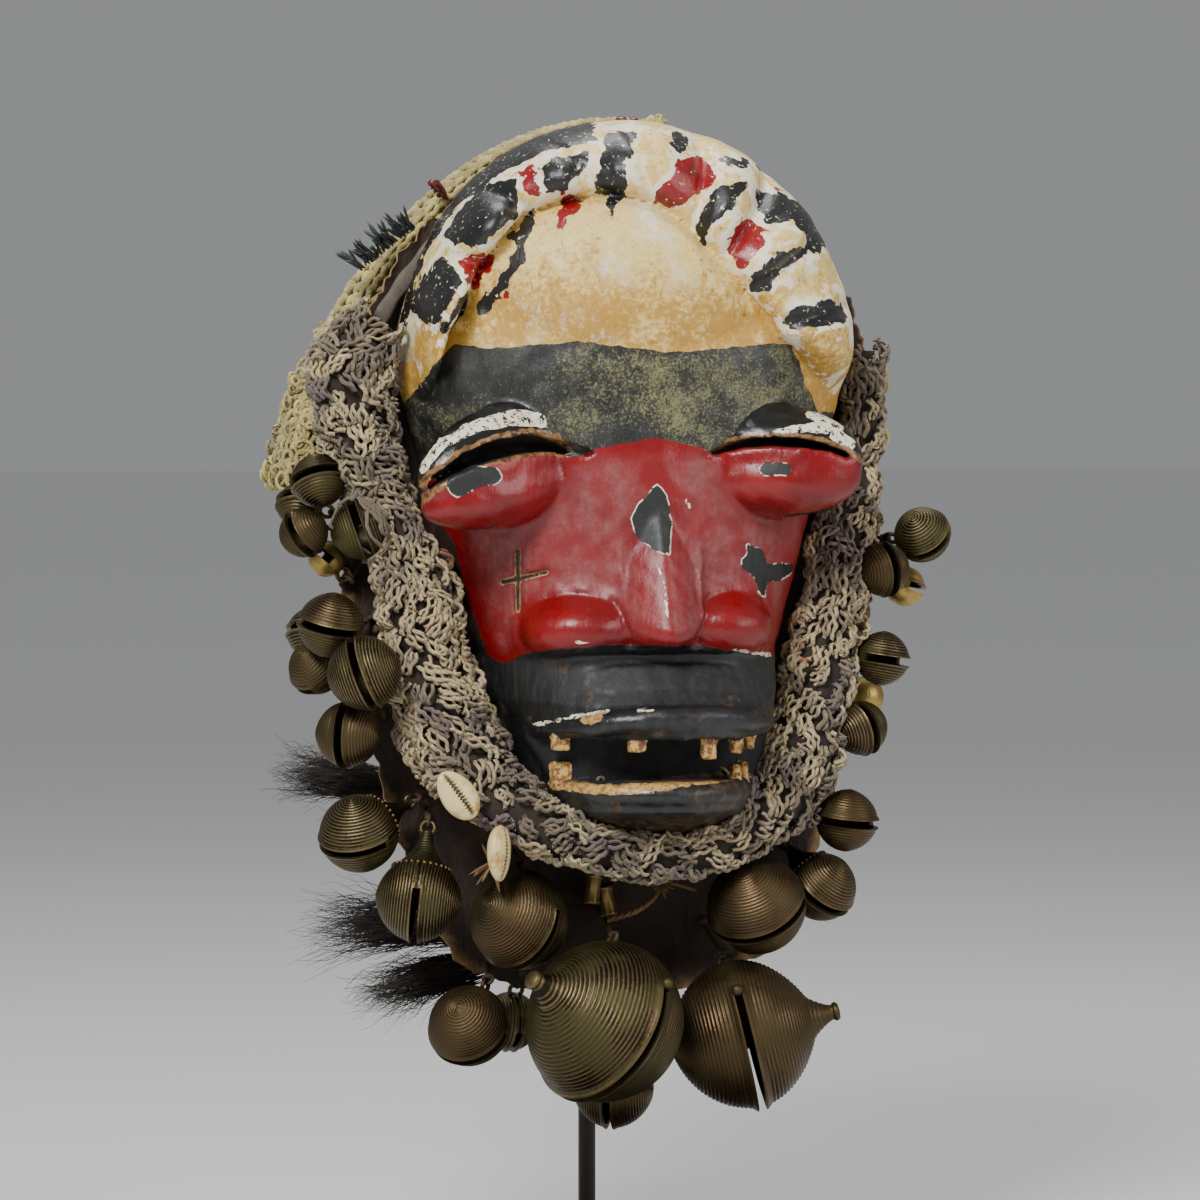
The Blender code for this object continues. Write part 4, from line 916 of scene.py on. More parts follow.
    # Painted shade: the mouth and the hollows behind the eye slits are coloured near black and made rough.
    coats.lay(n.ramp(n.number("recess"), -2.0, 0.5, 0.0, 0.95), (0.004, 0.003, 0.003))
    coats.dull(n.ramp(n.number("recess"), -2.0, 0.5), 0.9)
    tooth = ragged(n, "tooth", 0.3, 300.0)[0]
    coats.lay(tooth, n.mix(n.ramp(speck, 0.42, 0.60), (0.66, 0.42, 0.13), (0.16, 0.05, 0.018)))

    height = n.sum(n.times(blotch, 0.45), n.times(speck, 0.2))
    height = n.sum(height, n.times(streak, 0.3))
    layers = n.sum(n.times(red, 0.22), n.times(white, 0.25))
    layers = n.sum(layers, n.times(peel, -0.35))
    relief = n.bump(n.sum(height, layers), 0.6, 0.0013)
    n.feed(shader, {"Base Color": coats.shade, "Roughness": coats.rough, "Normal": relief})
    n.feed(shader, {"Coat Weight": 0.05, "Coat Roughness": 0.2})
    return mat


class MASK_OT_carve(bpy.types.Operator):
    """Carves the mask from its form and paints it"""

    bl_idname = "guere.carve_mask"
    bl_label = "Carved mask"

    def execute(self, context):
        s = context.scene.guere_mask
        step = s.grain / UNIT
        low, high = np.array((-96, -72, -148), float), np.array((96, RIM_Y + 4, 148), float)
        axes = [np.arange(a, b + step, step) for a, b in zip(low, high)]
        slabs = []
        for chunk in np.array_split(axes[0], 8):
            x, y, z = np.meshgrid(chunk, axes[1], axes[2], indexing="ij")
            form = finer_form(x, y, z, s.wall / UNIT)
            u, v = sheet(x, y, z)
            near = np.abs(form) < 4
            cut = np.zeros(form.shape)
            for line, _, _ in CARVED_CROSSES:
                groove = stroke(u[near], v[near], line, 1.7, 1.7)
                cut[near] = np.maximum(cut[near], np.clip(groove / 1.2, 0, 1))
            ahead = (y < 5) & (shield(x, y, z, 6.0) > 0)
            form = np.where(ahead, form + 2.2 * cut, form)
            slabs.append(form.astype(np.float32))
        grid = openvdb.FloatGrid(background=2 * step)
        grid.copyFromArray(np.ascontiguousarray(np.concatenate(slabs)))
        points, quads = grid.convertToQuads(0.0)
        points = low + points.astype(float) * step
        mesh = mesh_of("mask_carving", place(points), quads[:, ::-1].tolist())
        paint_fields(mesh, points)
        finished("mask_carving", mesh, [mask_paint(s)], ("mask",))
        return {"FINISHED"}


# Bells. x, y and z are the middle of the body and radius its size, in carving units. top points from the
# body to the ring, and wind is the axis that the ridges run round, square to the slit.
Bell = namedtuple("Bell", "name x y z radius top wind anchor kind")
BELL_ROWS = {
    "left_upper": (
        (-120.3, 6, 4.6, 10.4, (0.5, 0.7, -0.3), (-0.34, 0.1, 0.94), (-97, 2), "round"),
        (-122.5, 30, -4.9, 8.8, (0.9, -0.1, -0.2), (0.2, 0.5, 0.8), (-97, -6), "round"),
        (-126.8, 2, -14.8, 9.4, (0.45, 0.85, 0.2), (0.3, -0.9, 0.3), (-97, -14), "round"),
        (-105.2, 1, -13.6, 11.5, (0.2, 0.95, 0.1), (0.93, -0.1, 0.35), (-95, -14), "round"),
        (-115.4, 14, -24.9, 7.2, (0.75, 0.1, -0.65), (0.3, 0.1, -0.9), (-96, -20), "plain"),
    ),
    "left_middle": (
        (-116.9, 0, -49.4, 12.4, (0.7, 0.6, 0.0), (0.1, -0.25, 0.97), (-95, -46), "round"),
        (-115.7, 39, -53.9, 10.0, (0.7, -0.6, 0.1), (0.2, 0.3, 0.9), (-95, -52), "round"),
        (-119.0, 16.5, -65.8, 10.6, (0.7, -0.7, 0.2), (-0.4, -0.6, 0.5), (-95, -62), "round"),
        (-108.2, -19, -66.5, 14.0, (0.3, 0.9, 0.2), (0.74, -0.6, 0.26), (-93, -64), "round"),
        (-110.8, -2, -90.3, 12.4, (0.5, 0.8, 0.3), (0.57, -0.8, -0.17), (-92, -84), "round"),
    ),
    "beard": (
        (-106.7, -2, -127.6, 15.0, (0.83, 0.35, 0.42), (-0.3, -0.4, 0.87), (-78, -114), "conical"),
        (-85.2, -8, -152.3, 16.2, (0.2, 0.3, 0.93), (0.93, -0.3, -0.1), (-76, -118), "conical"),
        (-45.2, -4, -161.5, 19.0, (0.15, 0.45, 0.88), (-0.72, -0.4, 0.5), (-42, -136), "round"),
        (-63.8, 0, -201.4, 15.5, (0.45, 0.35, 0.82), (-0.4, -0.6, 0.6), (-52, -176), "round"),
        (-38.8, 36, -204.4, 11.5, (0.1, -0.3, 0.95), (1.0, 0.1, 0.0), (-38, -184), "round"),
        (-18.4, -26, -198.0, 30.8, (0.25, 0.5, 0.83), (-0.8, -0.35, 0.5), (-6, -160), "horned"),
        (41.5, -11, -206.3, 28.4, (-0.1, 0.5, 0.86), (0.93, -0.3, 0.05), (34, -166), "horned"),
        (-2.6, 18, -229.0, 15.8, (0.1, 0.1, 0.99), (0.9, -0.4, 0.1), (-2, -186), "round"),
        (45.4, -14, -157.3, 19.0, (0.3, 0.7, 0.6), (-0.5, -0.6, 0.6), (54, -136), "round"),
        (75.7, 0, -152.0, 13.4, (-0.5, 0.5, 0.7), (0.4, -0.5, 0.6), (62, -128), "conical"),
        (83.4, -7, -126.0, 12.0, (-0.2, 0.97, 0.1), (0.1, -0.15, 0.95), (78, -122), "round"),
    ),
    "right_upper": (
        (118.0, 6, -17.0, 11.0, (-0.7, 0.6, -0.1), (0.1, -0.8, 0.5), (97, -16), "round"),
        (99.9, -1, -30.0, 10.4, (-0.2, 0.95, 0.1), (0.9, -0.3, 0.1), (94, -28), "round"),
        (113.3, 13, -37.2, 8.0, (-0.9, 0.1, 0.3), (0.3, 0.1, 0.9), (97, -32), "plain"),
    ),
    "right_lower": (
        (101.2, 4, -64.6, 10.6, (-0.5, 0.8, 0.1), (0.5, -0.7, 0.4), (90, -62), "round"),
        (103.5, 34, -80.9, 8.0, (-0.8, -0.4, 0.3), (0.3, -0.8, 0.3), (88, -74), "plain"),
        (91.2, 0, -91.0, 10.6, (-0.3, 0.9, 0.2), (0.9, -0.4, 0.1), (84, -86), "round"),
    ),
}
BELLS = [Bell(f"{side}_bell_{k}", *row) for side, rows in BELL_ROWS.items() for k, row in enumerate(rows, 1)]
BIG_BELL = 22
RING_RADIUS = 2.6
RING_WIRE = 0.9
NIPPLE_LENGTH = 9.0
NECK = 0.62
TURN = 2 * math.pi


def unit(vector):
    vector = np.asarray(vector, float)
    return vector / np.linalg.norm(vector)


def bell_axes(bell):
    top = unit(bell.top)
    wind = np.asarray(bell.wind, float)
    wind = unit(wind - top * (wind @ top))
    return wind, np.cross(top, wind), top


def bell_middle(bell):
    return np.array((bell.x, bell.y, bell.z), float)


def ring_centre(bell):
    neck = bell.radius * NECK if bell.kind == "conical" else 0.0
    return bell_middle(bell) + bell_axes(bell)[2] * (bell.radius + neck + RING_RADIUS - RING_WIRE)


def ring_end(bell):
    return ring_centre(bell) + bell_axes(bell)[2] * (RING_RADIUS + RING_WIRE)


def turned_rows(start, axis, profile, sides):
    """Rows of points of a turned form. profile is (along, out) from start."""
    axis = unit(axis)
    across = unit(np.cross(axis, (0.31, 0.87, 0.4)))
    other = np.cross(axis, across)
    spokes = np.arange(sides) * TURN / sides
    spoke = across * np.cos(spokes)[:, None] + other * np.sin(spokes)[:, None]
    profile = np.asarray(profile, float)
    rows = np.asarray(start) + axis * profile[:, 0].reshape(-1, 1, 1) + spoke[None] * profile[:, 1].reshape(-1, 1, 1)
    return rows.reshape(-1, 3), grid_faces(len(profile), sides)


def ball(centre, radius, rings=8, sides=12):
    turns = np.linspace(0.02, math.pi - 0.02, rings)
    profile = np.stack([-radius * np.cos(turns), radius * np.sin(turns)], 1)
    return turned_rows(centre, (0, 0, 1), profile, sides)


def loop(centre, axis_a, axis_b, radius, wire, steps=22, sides=8):
    """A closed ring of round wire in the plane of the two axes."""
    turns = np.arange(steps + 1) * TURN / steps
    path = centre + radius * (np.cos(turns)[:, None] * axis_a + np.sin(turns)[:, None] * axis_b)
    square = np.cross(axis_a, axis_b)
    around = np.arange(sides) * TURN / sides
    spoke = (path - centre) / radius
    ring = spoke[:, None] * np.cos(around)[None, :, None] + square * np.sin(around)[None, :, None]
    points = path[:, None] + wire * ring
    return points.reshape(-1, 3), grid_faces(steps + 1, sides)


def wave(phase):
    """The height of a wound ridge, 0 to 1, once for each whole number of phase."""
    return 0.5 + 0.5 * np.cos(TURN * phase)


def bell_body(out, bell, s, tone):
    """The two-bowl body: one wound surface from pole to pole that is parted below by the slit."""
    wind, front, top = bell_axes(bell)
    middle, radius = bell_middle(bell), bell.radius
    big = radius > BIG_BELL
    pitch = s.ridge / UNIT * (1.3 if big else 1.0)
    height = s.ridge_height / UNIT * (1.35 if big else 1.0)
    half_slit = s.slit / UNIT / 2
    n = int(np.clip(TURN * radius / 2.4, 28, 74))
    gap = round(n * (8 / 14 if big else 0.5))
    start = math.asin(half_slit / radius)
    steps = int((math.pi / 2 - start) * radius / pitch * 4)
    side = np.linspace(start, math.pi / 2 - 0.006, steps)
    turns = np.concatenate([-side[::-1], np.linspace(-start, start, 5)[1:-1], side])
    low, high = steps - 1, steps + 3
    k = np.arange(n)
    angle = math.pi * (1.5 - gap / n) + TURN * k / n
    ridge = wave(turns[:, None] * radius / pitch + angle[None] / TURN)
    if bell.kind == "plain":
        ridge = ridge * 0.08
    away = np.abs(turns)[:, None] * radius - half_slit
    open_here = np.clip((gap / 2 + 1.2 - np.abs(k - gap / 2)) / 1.2, 0, 1)[None]
    lip = np.exp(-((away / (2.0 if big else 1.1)) ** 2)) * open_here
    ridge = np.maximum(ridge * (1 - lip), lip)
    worn = 1 + 0.35 * np.sin(angle * 3 + tone * 9)[None] * np.cos(turns * 2)[:, None]
    size = radius - 0.25 + height * ridge * worn + lip * (1.5 if big else 0.55)
    point = np.where((turns > 0) & (bell.kind == "horned"), 1.42, 1.13)
    narrow = np.cos(turns) ** (1.0 if bell.kind == "plain" else point)
    spoke = front * np.cos(angle)[:, None] + top * np.sin(angle)[:, None]
    along, across = size * np.sin(turns)[:, None], size * narrow[:, None]
    points = middle + wind * along[..., None] + spoke[None] * across[..., None]
    faces = grid_faces(len(turns), n).reshape(len(turns) - 1, n, 4)
    kept = np.ones((len(turns) - 1, n), bool)
    kept[low:high, :gap] = False
    out.add(points, faces[kept][:, ::-1], ridge=ridge.ravel(), gold=bell.kind == "plain")

    wall = s.wall / UNIT
    inner_side = np.linspace(math.asin(half_slit / (radius - wall)), math.pi / 2 - 0.02, 8)
    inner_turns = np.concatenate([-inner_side[::-1], inner_side])
    narrow = np.cos(inner_turns) ** 1.13
    inner = middle + wind * ((radius - wall) * np.sin(inner_turns))[:, None, None]
    inner = inner + spoke[None] * ((radius - wall) * narrow)[:, None, None]
    faces = grid_faces(len(inner_turns), n).reshape(len(inner_turns) - 1, n, 4)
    kept = np.ones((len(inner_turns) - 1, n), bool)
    kept[7, :gap] = False
    out.add(inner, faces[kept], ridge=0.0)
    for outer_row, inner_row in ((low, 7), (high, 8)):
        rim = np.stack([points[outer_row, : gap + 1], inner[inner_row, : gap + 1]])
        out.add(rim, grid_faces(2, gap + 1, False), ridge=0.8)
    for column in (0, gap):
        between = np.linspace(inner[7, column], inner[8, column], high - low + 1)
        end = np.stack([points[low : high + 1, column], between])
        out.add(end, grid_faces(2, high - low + 1, False), ridge=0.2)
    if big:
        for column in (0, gap):
            edge = points[low, column] * 0.5 + points[high, column] * 0.5
            out.add(*ball(edge + spoke[column] * 0.4, 2.3), ridge=1.0)


def bell_fittings(out, bell, s):
    """The cast loop, and the neck or nipple of the bells that have one."""
    wind, front, top = bell_axes(bell)
    middle, radius = bell_middle(bell), bell.radius
    pitch = s.ridge / UNIT
    out.add(*loop(ring_centre(bell), top, wind, RING_RADIUS, RING_WIRE), ridge=0.7)
    if bell.kind == "conical":
        tall = radius * (1 - 0.70 + NECK)
        t = np.linspace(0, 1, 56)
        flare = radius * (0.13 + 0.58 * (1 - t) ** 2.1)
        ridge = wave(t * tall / (pitch * 0.9))
        profile = np.stack([t * tall, flare + 0.22 * ridge], 1)
        points, faces = turned_rows(middle + top * radius * 0.70, top, profile, 36)
        out.add(points, faces, ridge=np.repeat(ridge, 36) * 0.7)
        spokes = np.arange(30) * TURN / 30
        for turn in spokes:
            spot = middle + top * radius * 0.715 + (wind * math.cos(turn) + front * math.sin(turn)) * radius * 0.695
            out.add(*ball(spot, radius * 0.045, 5, 7), ridge=1.0, gold=0.3)
    if bell.kind == "horned":
        tall = radius * 0.42 + NIPPLE_LENGTH
        t = np.linspace(0, 1, 64)
        flare = radius * (0.085 + 0.60 * (1 - t) ** 1.9)
        flare[-10:] += np.sin(np.linspace(0, math.pi, 10)) * 1.1
        flare[-1] = 0.05
        ridge = wave(t * tall / (pitch * 1.3)) * np.clip((0.78 - t) * 8, 0, 1)
        profile = np.stack([t * tall, flare + 0.3 * ridge], 1)
        points, faces = turned_rows(middle + wind * radius * 0.58, wind, profile, 44)
        out.add(points, faces, ridge=np.repeat(np.maximum(ridge, t > 0.8), 44))


def bronze(s):
    """Dark wound castings: bright on the ridges, black between, and olive where they are dull."""
    mat, shader, n = blank("dark bronze")
    ridge, tone, gold = n.number("ridge"), n.number("tone"), n.number("gold")
    patch = n.noise(70.0, 5.0, 0.6)
    grit = n.noise(700.0, 4.0, 0.7)
    crest = n.ramp(n.sum(ridge, n.times(n.less(grit, 0.5), 0.7)), 0.35, 0.95)
    metal = n.mix(crest, s.dark, s.bright)
    metal = n.mix(n.ramp(n.sum(patch, n.times(tone, 0.25)), 0.48, 0.66, 0.0, 0.8), metal, s.olive)
    metal = n.mix(n.ramp(n.sum(tone, n.noise(38.0, 3.0)), 0.5, 1.2, 0.0, 0.6), metal, (0.075, 0.040, 0.020))
    yellow = n.mix(n.ramp(patch, 0.4, 0.62), s.gold, dim(s.gold, 0.4))
    metal = n.mix(gold, metal, yellow)
    rough = n.ramp(n.sum(patch, n.times(grit, 0.4)), 0.45, 0.95, 0.30, 0.62)
    relief = n.bump(n.sum(grit, n.times(patch, 0.6)), 0.28, 0.0005)
    n.feed(shader, {"Base Color": metal, "Metallic": 0.86, "Roughness": rough, "Normal": relief})
    return mat


class MASK_OT_bells(bpy.types.Operator):
    """Casts the crotal bells with their wound ridges, slits, loops, necks and nipples"""

    bl_idname = "guere.cast_bells"
    bl_label = "Bells"

    def execute(self, context):
        s = context.scene.guere_bells
        metal = bronze(s)
        chance = random.Random(7)
        for bell in BELLS:
            tone = chance.random()
            out = Gathered(tone=tone, gold=0.0)
            bell_body(out, bell, s, tone)
            bell_fittings(out, bell, s)
            finished(bell.name + ".cast", out.mesh(bell.name), [metal], (bell.name,))
        return {"FINISHED"}


# The yarn trim: a flattened roll along its run, left temple to right temple, covered in kinked yarn
# Each stop is x, y, z and half the width.
YARN_RUN = (
    (-97, 4, 64, 9), (-108, 4, 46, 14), (-106, 3, 24, 13), (-99, 3, 6, 10), (-92, 2, -16, 10),
    (-83, 2, -41, 14), (-79, 0, -68, 15), (-72, -4, -92, 17), (-55, -16, -114, 12), (-30, -26, -129, 9),
    (-5, -28, -134, 9), (20, -27, -134, 9), (43, -18, -123, 12), (62, -6, -107, 16), (72, 2, -82, 13),
    (80, 4, -50, 12), (86, 6, -22, 11), (91, 8, 5, 8), (95, 9, 34, 7), (95, 9, 54, 5),
)
YARN_FLATNESS = 0.62
YARN_STAINS = ((((-74, -3), (-68, -24)), 4.0, 4.0), (((62, -49), (66, -63)), 3.0, 3.0))


class YarnRoll:
    """Places on the roll's skin, from how far along it they are and their turn round it."""

    def __init__(self, count=560):
        path = smooth_path(YARN_RUN, count)
        self.middle, self.half = path[:, :3], path[:, 3]
        self.tangent = np.gradient(self.middle, axis=0)
        self.tangent /= np.linalg.norm(self.tangent, axis=1, keepdims=True)
        toward = np.array((0.0, -1.0, 0.0))
        self.front = toward - self.tangent * (self.tangent @ toward)[:, None]
        self.front /= np.linalg.norm(self.front, axis=1, keepdims=True)
        self.out = np.cross(self.tangent, self.front)
        self.count = count

    def at(self, along, turn, rise=1.0):
        """along is 0 to 1, turn in radians (a quarter turn faces front) and rise scales the roll."""
        along = np.clip(np.asarray(along, float), 0, 1) * (self.count - 1)
        i = np.minimum(along.astype(int), self.count - 2)
        f = (along - i)[..., None]

        def between(values):
            return values[i] * (1 - f) + values[i + 1] * f

        half = between(self.half[:, None]) * np.asarray(rise)[..., None]
        c, s = np.cos(turn)[..., None], np.sin(turn)[..., None]
        return between(self.middle) + between(self.out) * half * c + between(self.front) * half * YARN_FLATNESS * s


def kept_clear(points, gap):
    """Moves points out of the wood, the bells and the hide."""
    points = points.copy()
    for _ in range(2):
        near = mask_form(*points.T)
        low = near < gap
        if low.any():
            p, h = points[low], 0.4
            slope = np.stack([mask_form(*(p + d).T) - mask_form(*(p - d).T) for d in np.eye(3) * h], -1) / (2 * h)
            slope /= np.maximum(np.linalg.norm(slope, axis=1, keepdims=True), 1e-6)
            points[low] = p + slope * (gap - near[low])[:, None]
    for bell in BELLS:
        away = points - bell_middle(bell)
        reach = np.linalg.norm(away, axis=1)
        low = reach < bell.radius + gap
        points[low] = bell_middle(bell) + away[low] / np.maximum(reach[low], 1e-6)[:, None] * (bell.radius + gap)
    points[:, 1] = np.minimum(points[:, 1], RIM_Y - 0.4)
    return points


def curl(chance, middle, down, across, normal, size):
    """One kinked loop of yarn."""
    steps = 15
    t = np.linspace(0, 1, steps)
    turns = chance.uniform(1.1, 2.4) * TURN * chance.choice((-1, 1))
    begin = chance.uniform(0, TURN)
    wide = chance.uniform(0.9, 2.2) * size
    long = chance.uniform(3.5, 9.0) * size
    lean = chance.uniform(-0.9, 0.9)
    path = middle + np.outer((t - 0.5) * long, down + across * lean)
    coil = begin + turns * t
    path = path + np.outer(wide * np.cos(coil), across) + np.outer(wide * np.sin(coil), down)
    rise = chance.uniform(0.3, 2.6) * size
    return path + np.outer(rise * np.sin(t * math.pi) ** 0.7 + 0.6 * np.sin(t * 9 + begin), normal)


def tuft(chance, middle, down, across, normal, thick):
    """Crimped lengths of yarn that lie side by side on the roll."""
    lean, bend = chance.uniform(-1.0, 1.0), chance.uniform(-0.04, 0.04)
    way = down * math.cos(lean) + across * math.sin(lean)
    side = across * math.cos(lean) - down * math.sin(lean)
    crimp, high, long = chance.uniform(4.2, 7.0), chance.uniform(0.2, 4.4), chance.uniform(7, 13)
    count = chance.choice((3, 4, 5, 6))
    for k in range(count):
        shift = (k - (count - 1) / 2) * thick * 1.8
        steps = 17
        reach = (np.linspace(0, 1, steps) - 0.5) * long * chance.uniform(0.8, 1.15) + chance.uniform(-1, 1)
        wave = reach * TURN / crimp + k * 2.6 + chance.uniform(-0.5, 0.5)
        dome = high * np.clip(1 - (2 * reach / long) ** 2, 0, 1) ** 0.6 * (1 - 0.5 * (shift / (thick * 7)) ** 2)
        wander = 0.5 * np.sin(wave) + 0.5 * np.sin(wave * 0.37 + 3 * k) + bend * reach**2
        path = middle + np.outer(reach, way) + np.outer(shift + wander, side)
        yield path + np.outer(dome + 0.75 * np.cos(wave), normal)


def yarn_paint(name, light, dark, third):
    mat, shader, n = blank(name)
    shade, deep = n.number("shade"), n.number("deep")
    patch, fibre = n.noise(45.0, 4.0, 0.6), n.noise(1400.0, 3.0, 0.7)
    tuft = n.sum(n.times(shade, 0.7), n.times(patch, 0.8))
    mixed = n.mix(n.ramp(tuft, 0.55, 0.98), dark, light)
    mixed = n.mix(n.ramp(n.noise(30.0), 0.54, 0.66, 0.0, 0.7), mixed, third)
    mixed = n.mix(n.ramp(fibre, 0.35, 0.7, 0.0, 0.6), mixed, dim(dark, 0.35))
    # Painted shade: the deep number darkens the yarn towards black where it lies under the loops.
    mixed = n.mix(n.ramp(deep, 0.0, 1.0, 0.0, 0.93), mixed, (0.012, 0.009, 0.007))
    mixed = n.mix(n.ramp(n.number("stain"), -1.0, 3.0, 0.0, 0.75), mixed, (0.20, 0.012, 0.010))
    n.feed(shader, {"Base Color": mixed, "Roughness": 0.92, "Sheen Weight": 0.25, "Specular IOR Level": 0.2})
    n.feed(shader, {"Normal": n.bump(fibre, 0.6, 0.0005)})
    return mat


class MASK_OT_yarn(bpy.types.Operator):
    """Lays the kinked yarn trim round the face"""

    bl_idname = "guere.lay_yarn"
    bl_label = "Yarn trim"

    def execute(self, context):
        s = context.scene.guere_yarn
        roll = YarnRoll()
        chance = random.Random(21)
        out = Gathered()
        thick = s.thickness / UNIT / 2
        self.core(out, roll)
        places = []
        share = np.cumsum(roll.half)
        share = share / share[-1]
        for k in range(s.tufts):
            i = min(int(np.searchsorted(share, (k + chance.random()) / s.tufts)), roll.count - 1)
            turn = math.radians((k * 0.618 % 1) * 250 - 35 + chance.uniform(-8, 8))
            middle = roll.at(i / (roll.count - 1), turn, chance.uniform(0.84, 1.06))
            normal = unit(middle - roll.middle[i])
            down = roll.tangent[i]
            across, tone = np.cross(normal, down), chance.random()
            for path in tuft(chance, middle, down, across, normal, thick):
                places.append((path, thick * chance.uniform(0.85, 1.2), min(max(tone + chance.gauss(0, 0.15), 0), 1)))
            if chance.random() < 0.35:
                places.append((curl(chance, middle, down, across, normal, 1.0), thick * 0.8, tone))
        lengths = [len(path) for path, _, _ in places]
        moved = kept_clear(np.concatenate([path for path, _, _ in places]), thick)
        for path, (_, wide, shade) in zip(np.split(moved, np.cumsum(lengths)[:-1]), places):
            points, faces = tube(path, wide, 3)
            u, v = sheet(*points.T)
            stain = strokes(u, v, YARN_STAINS) + (shade - 0.9) * 6
            warm = 0.5 * np.exp(-(((u + 80) / 14) ** 2) - ((v + 42) / 26) ** 2)
            warm = warm + 0.25 * np.exp(-(((v + 60) / 30) ** 2))
            out.add(points, faces, shade=np.clip(shade * 0.8 + warm, 0, 1), deep=0.0, stain=stain)
        yarn = yarn_paint("grey yarn", s.cream, s.grey, s.mauve)
        finished("yarn_trim.knit", out.mesh("yarn_trim"), [yarn], ("yarn_trim",))
        return {"FINISHED"}

    def core(self, out, roll):
        """The matted middle of the roll, which the loops stand on, painted near black as shade between the tufts."""
        along, turn = np.meshgrid(np.linspace(0, 1, 190), np.arange(18) * TURN / 18, indexing="ij")
        lumps = 0.80 + 0.07 * np.sin(along * 190) * np.cos(turn * 3) + 0.05 * np.sin(along * 77 + turn * 2)
        points = kept_clear(roll.at(along.ravel(), turn.ravel(), lumps.ravel()), 0.3)
        out.add(points, grid_faces(190, 18), shade=0.1, deep=0.8, stain=-9.0)


# The hood's crocheted edge: an arch from ear to ear that falls back from the mask's crown
HOOD_EAR_X = 110
HOOD_EAR_Z = 3
HOOD_CROWN_Z = 136
HOOD_FALL = 50
HOOD_POINT = 1.3
HOOD_DEPTH = 34
HOOD_THICKNESS = 11
HOOD_END_SWELL = 8


class Hood:
    """The band's middle line with its two cross directions."""

    def __init__(self, count=420):
        share = np.linspace(0, 1, count)
        turn = math.pi * (1 - share)
        x = HOOD_EAR_X * np.cos(turn)
        z = HOOD_EAR_Z + (HOOD_CROWN_Z - HOOD_EAR_Z) * np.sin(turn).clip(0) ** HOOD_POINT
        y = RIM_Y + HOOD_FALL * np.abs(np.cos(turn)) ** 1.5 + COLLAR_GAP + HOOD_DEPTH / 2
        path = np.stack([x, y, z], 1)
        reach = np.concatenate([[0], np.cumsum(np.linalg.norm(np.diff(path, axis=0), axis=1))])
        even = np.linspace(0, reach[-1], count)
        self.length = reach[-1]
        self.share = np.interp(even, reach, share)
        self.middle = np.stack([np.interp(even, reach, path[:, i]) for i in range(3)], 1)
        self.along = np.gradient(self.middle, axis=0)
        self.along /= np.linalg.norm(self.along, axis=1, keepdims=True)
        self.out = np.cross((0.0, 1.0, 0.0), self.along)
        self.out /= np.linalg.norm(self.out, axis=1, keepdims=True)
        self.back = np.cross(self.along, self.out)
        self.thick = (HOOD_THICKNESS + HOOD_END_SWELL * (2 * self.share - 1) ** 4) / 2
        self.count = count

    def at(self, i, round_share, rise=1.0):
        """A place on the rounded band, round_share once round it from the middle of its front edge."""
        turn = TURN * np.asarray(round_share)
        bow = np.sign(np.sin(turn)) * np.abs(np.sin(turn)) ** 0.55
        flat = np.sign(np.cos(turn)) * np.abs(np.cos(turn)) ** 0.55
        flat, bow = np.atleast_1d(flat)[..., None], np.atleast_1d(bow)[..., None]
        i = np.atleast_1d(i)
        rise = np.atleast_1d(rise)[..., None]
        wide = self.thick[i][..., None]
        return self.middle[i] - self.back[i] * flat * HOOD_DEPTH / 2 * rise + self.out[i] * bow * wide * rise


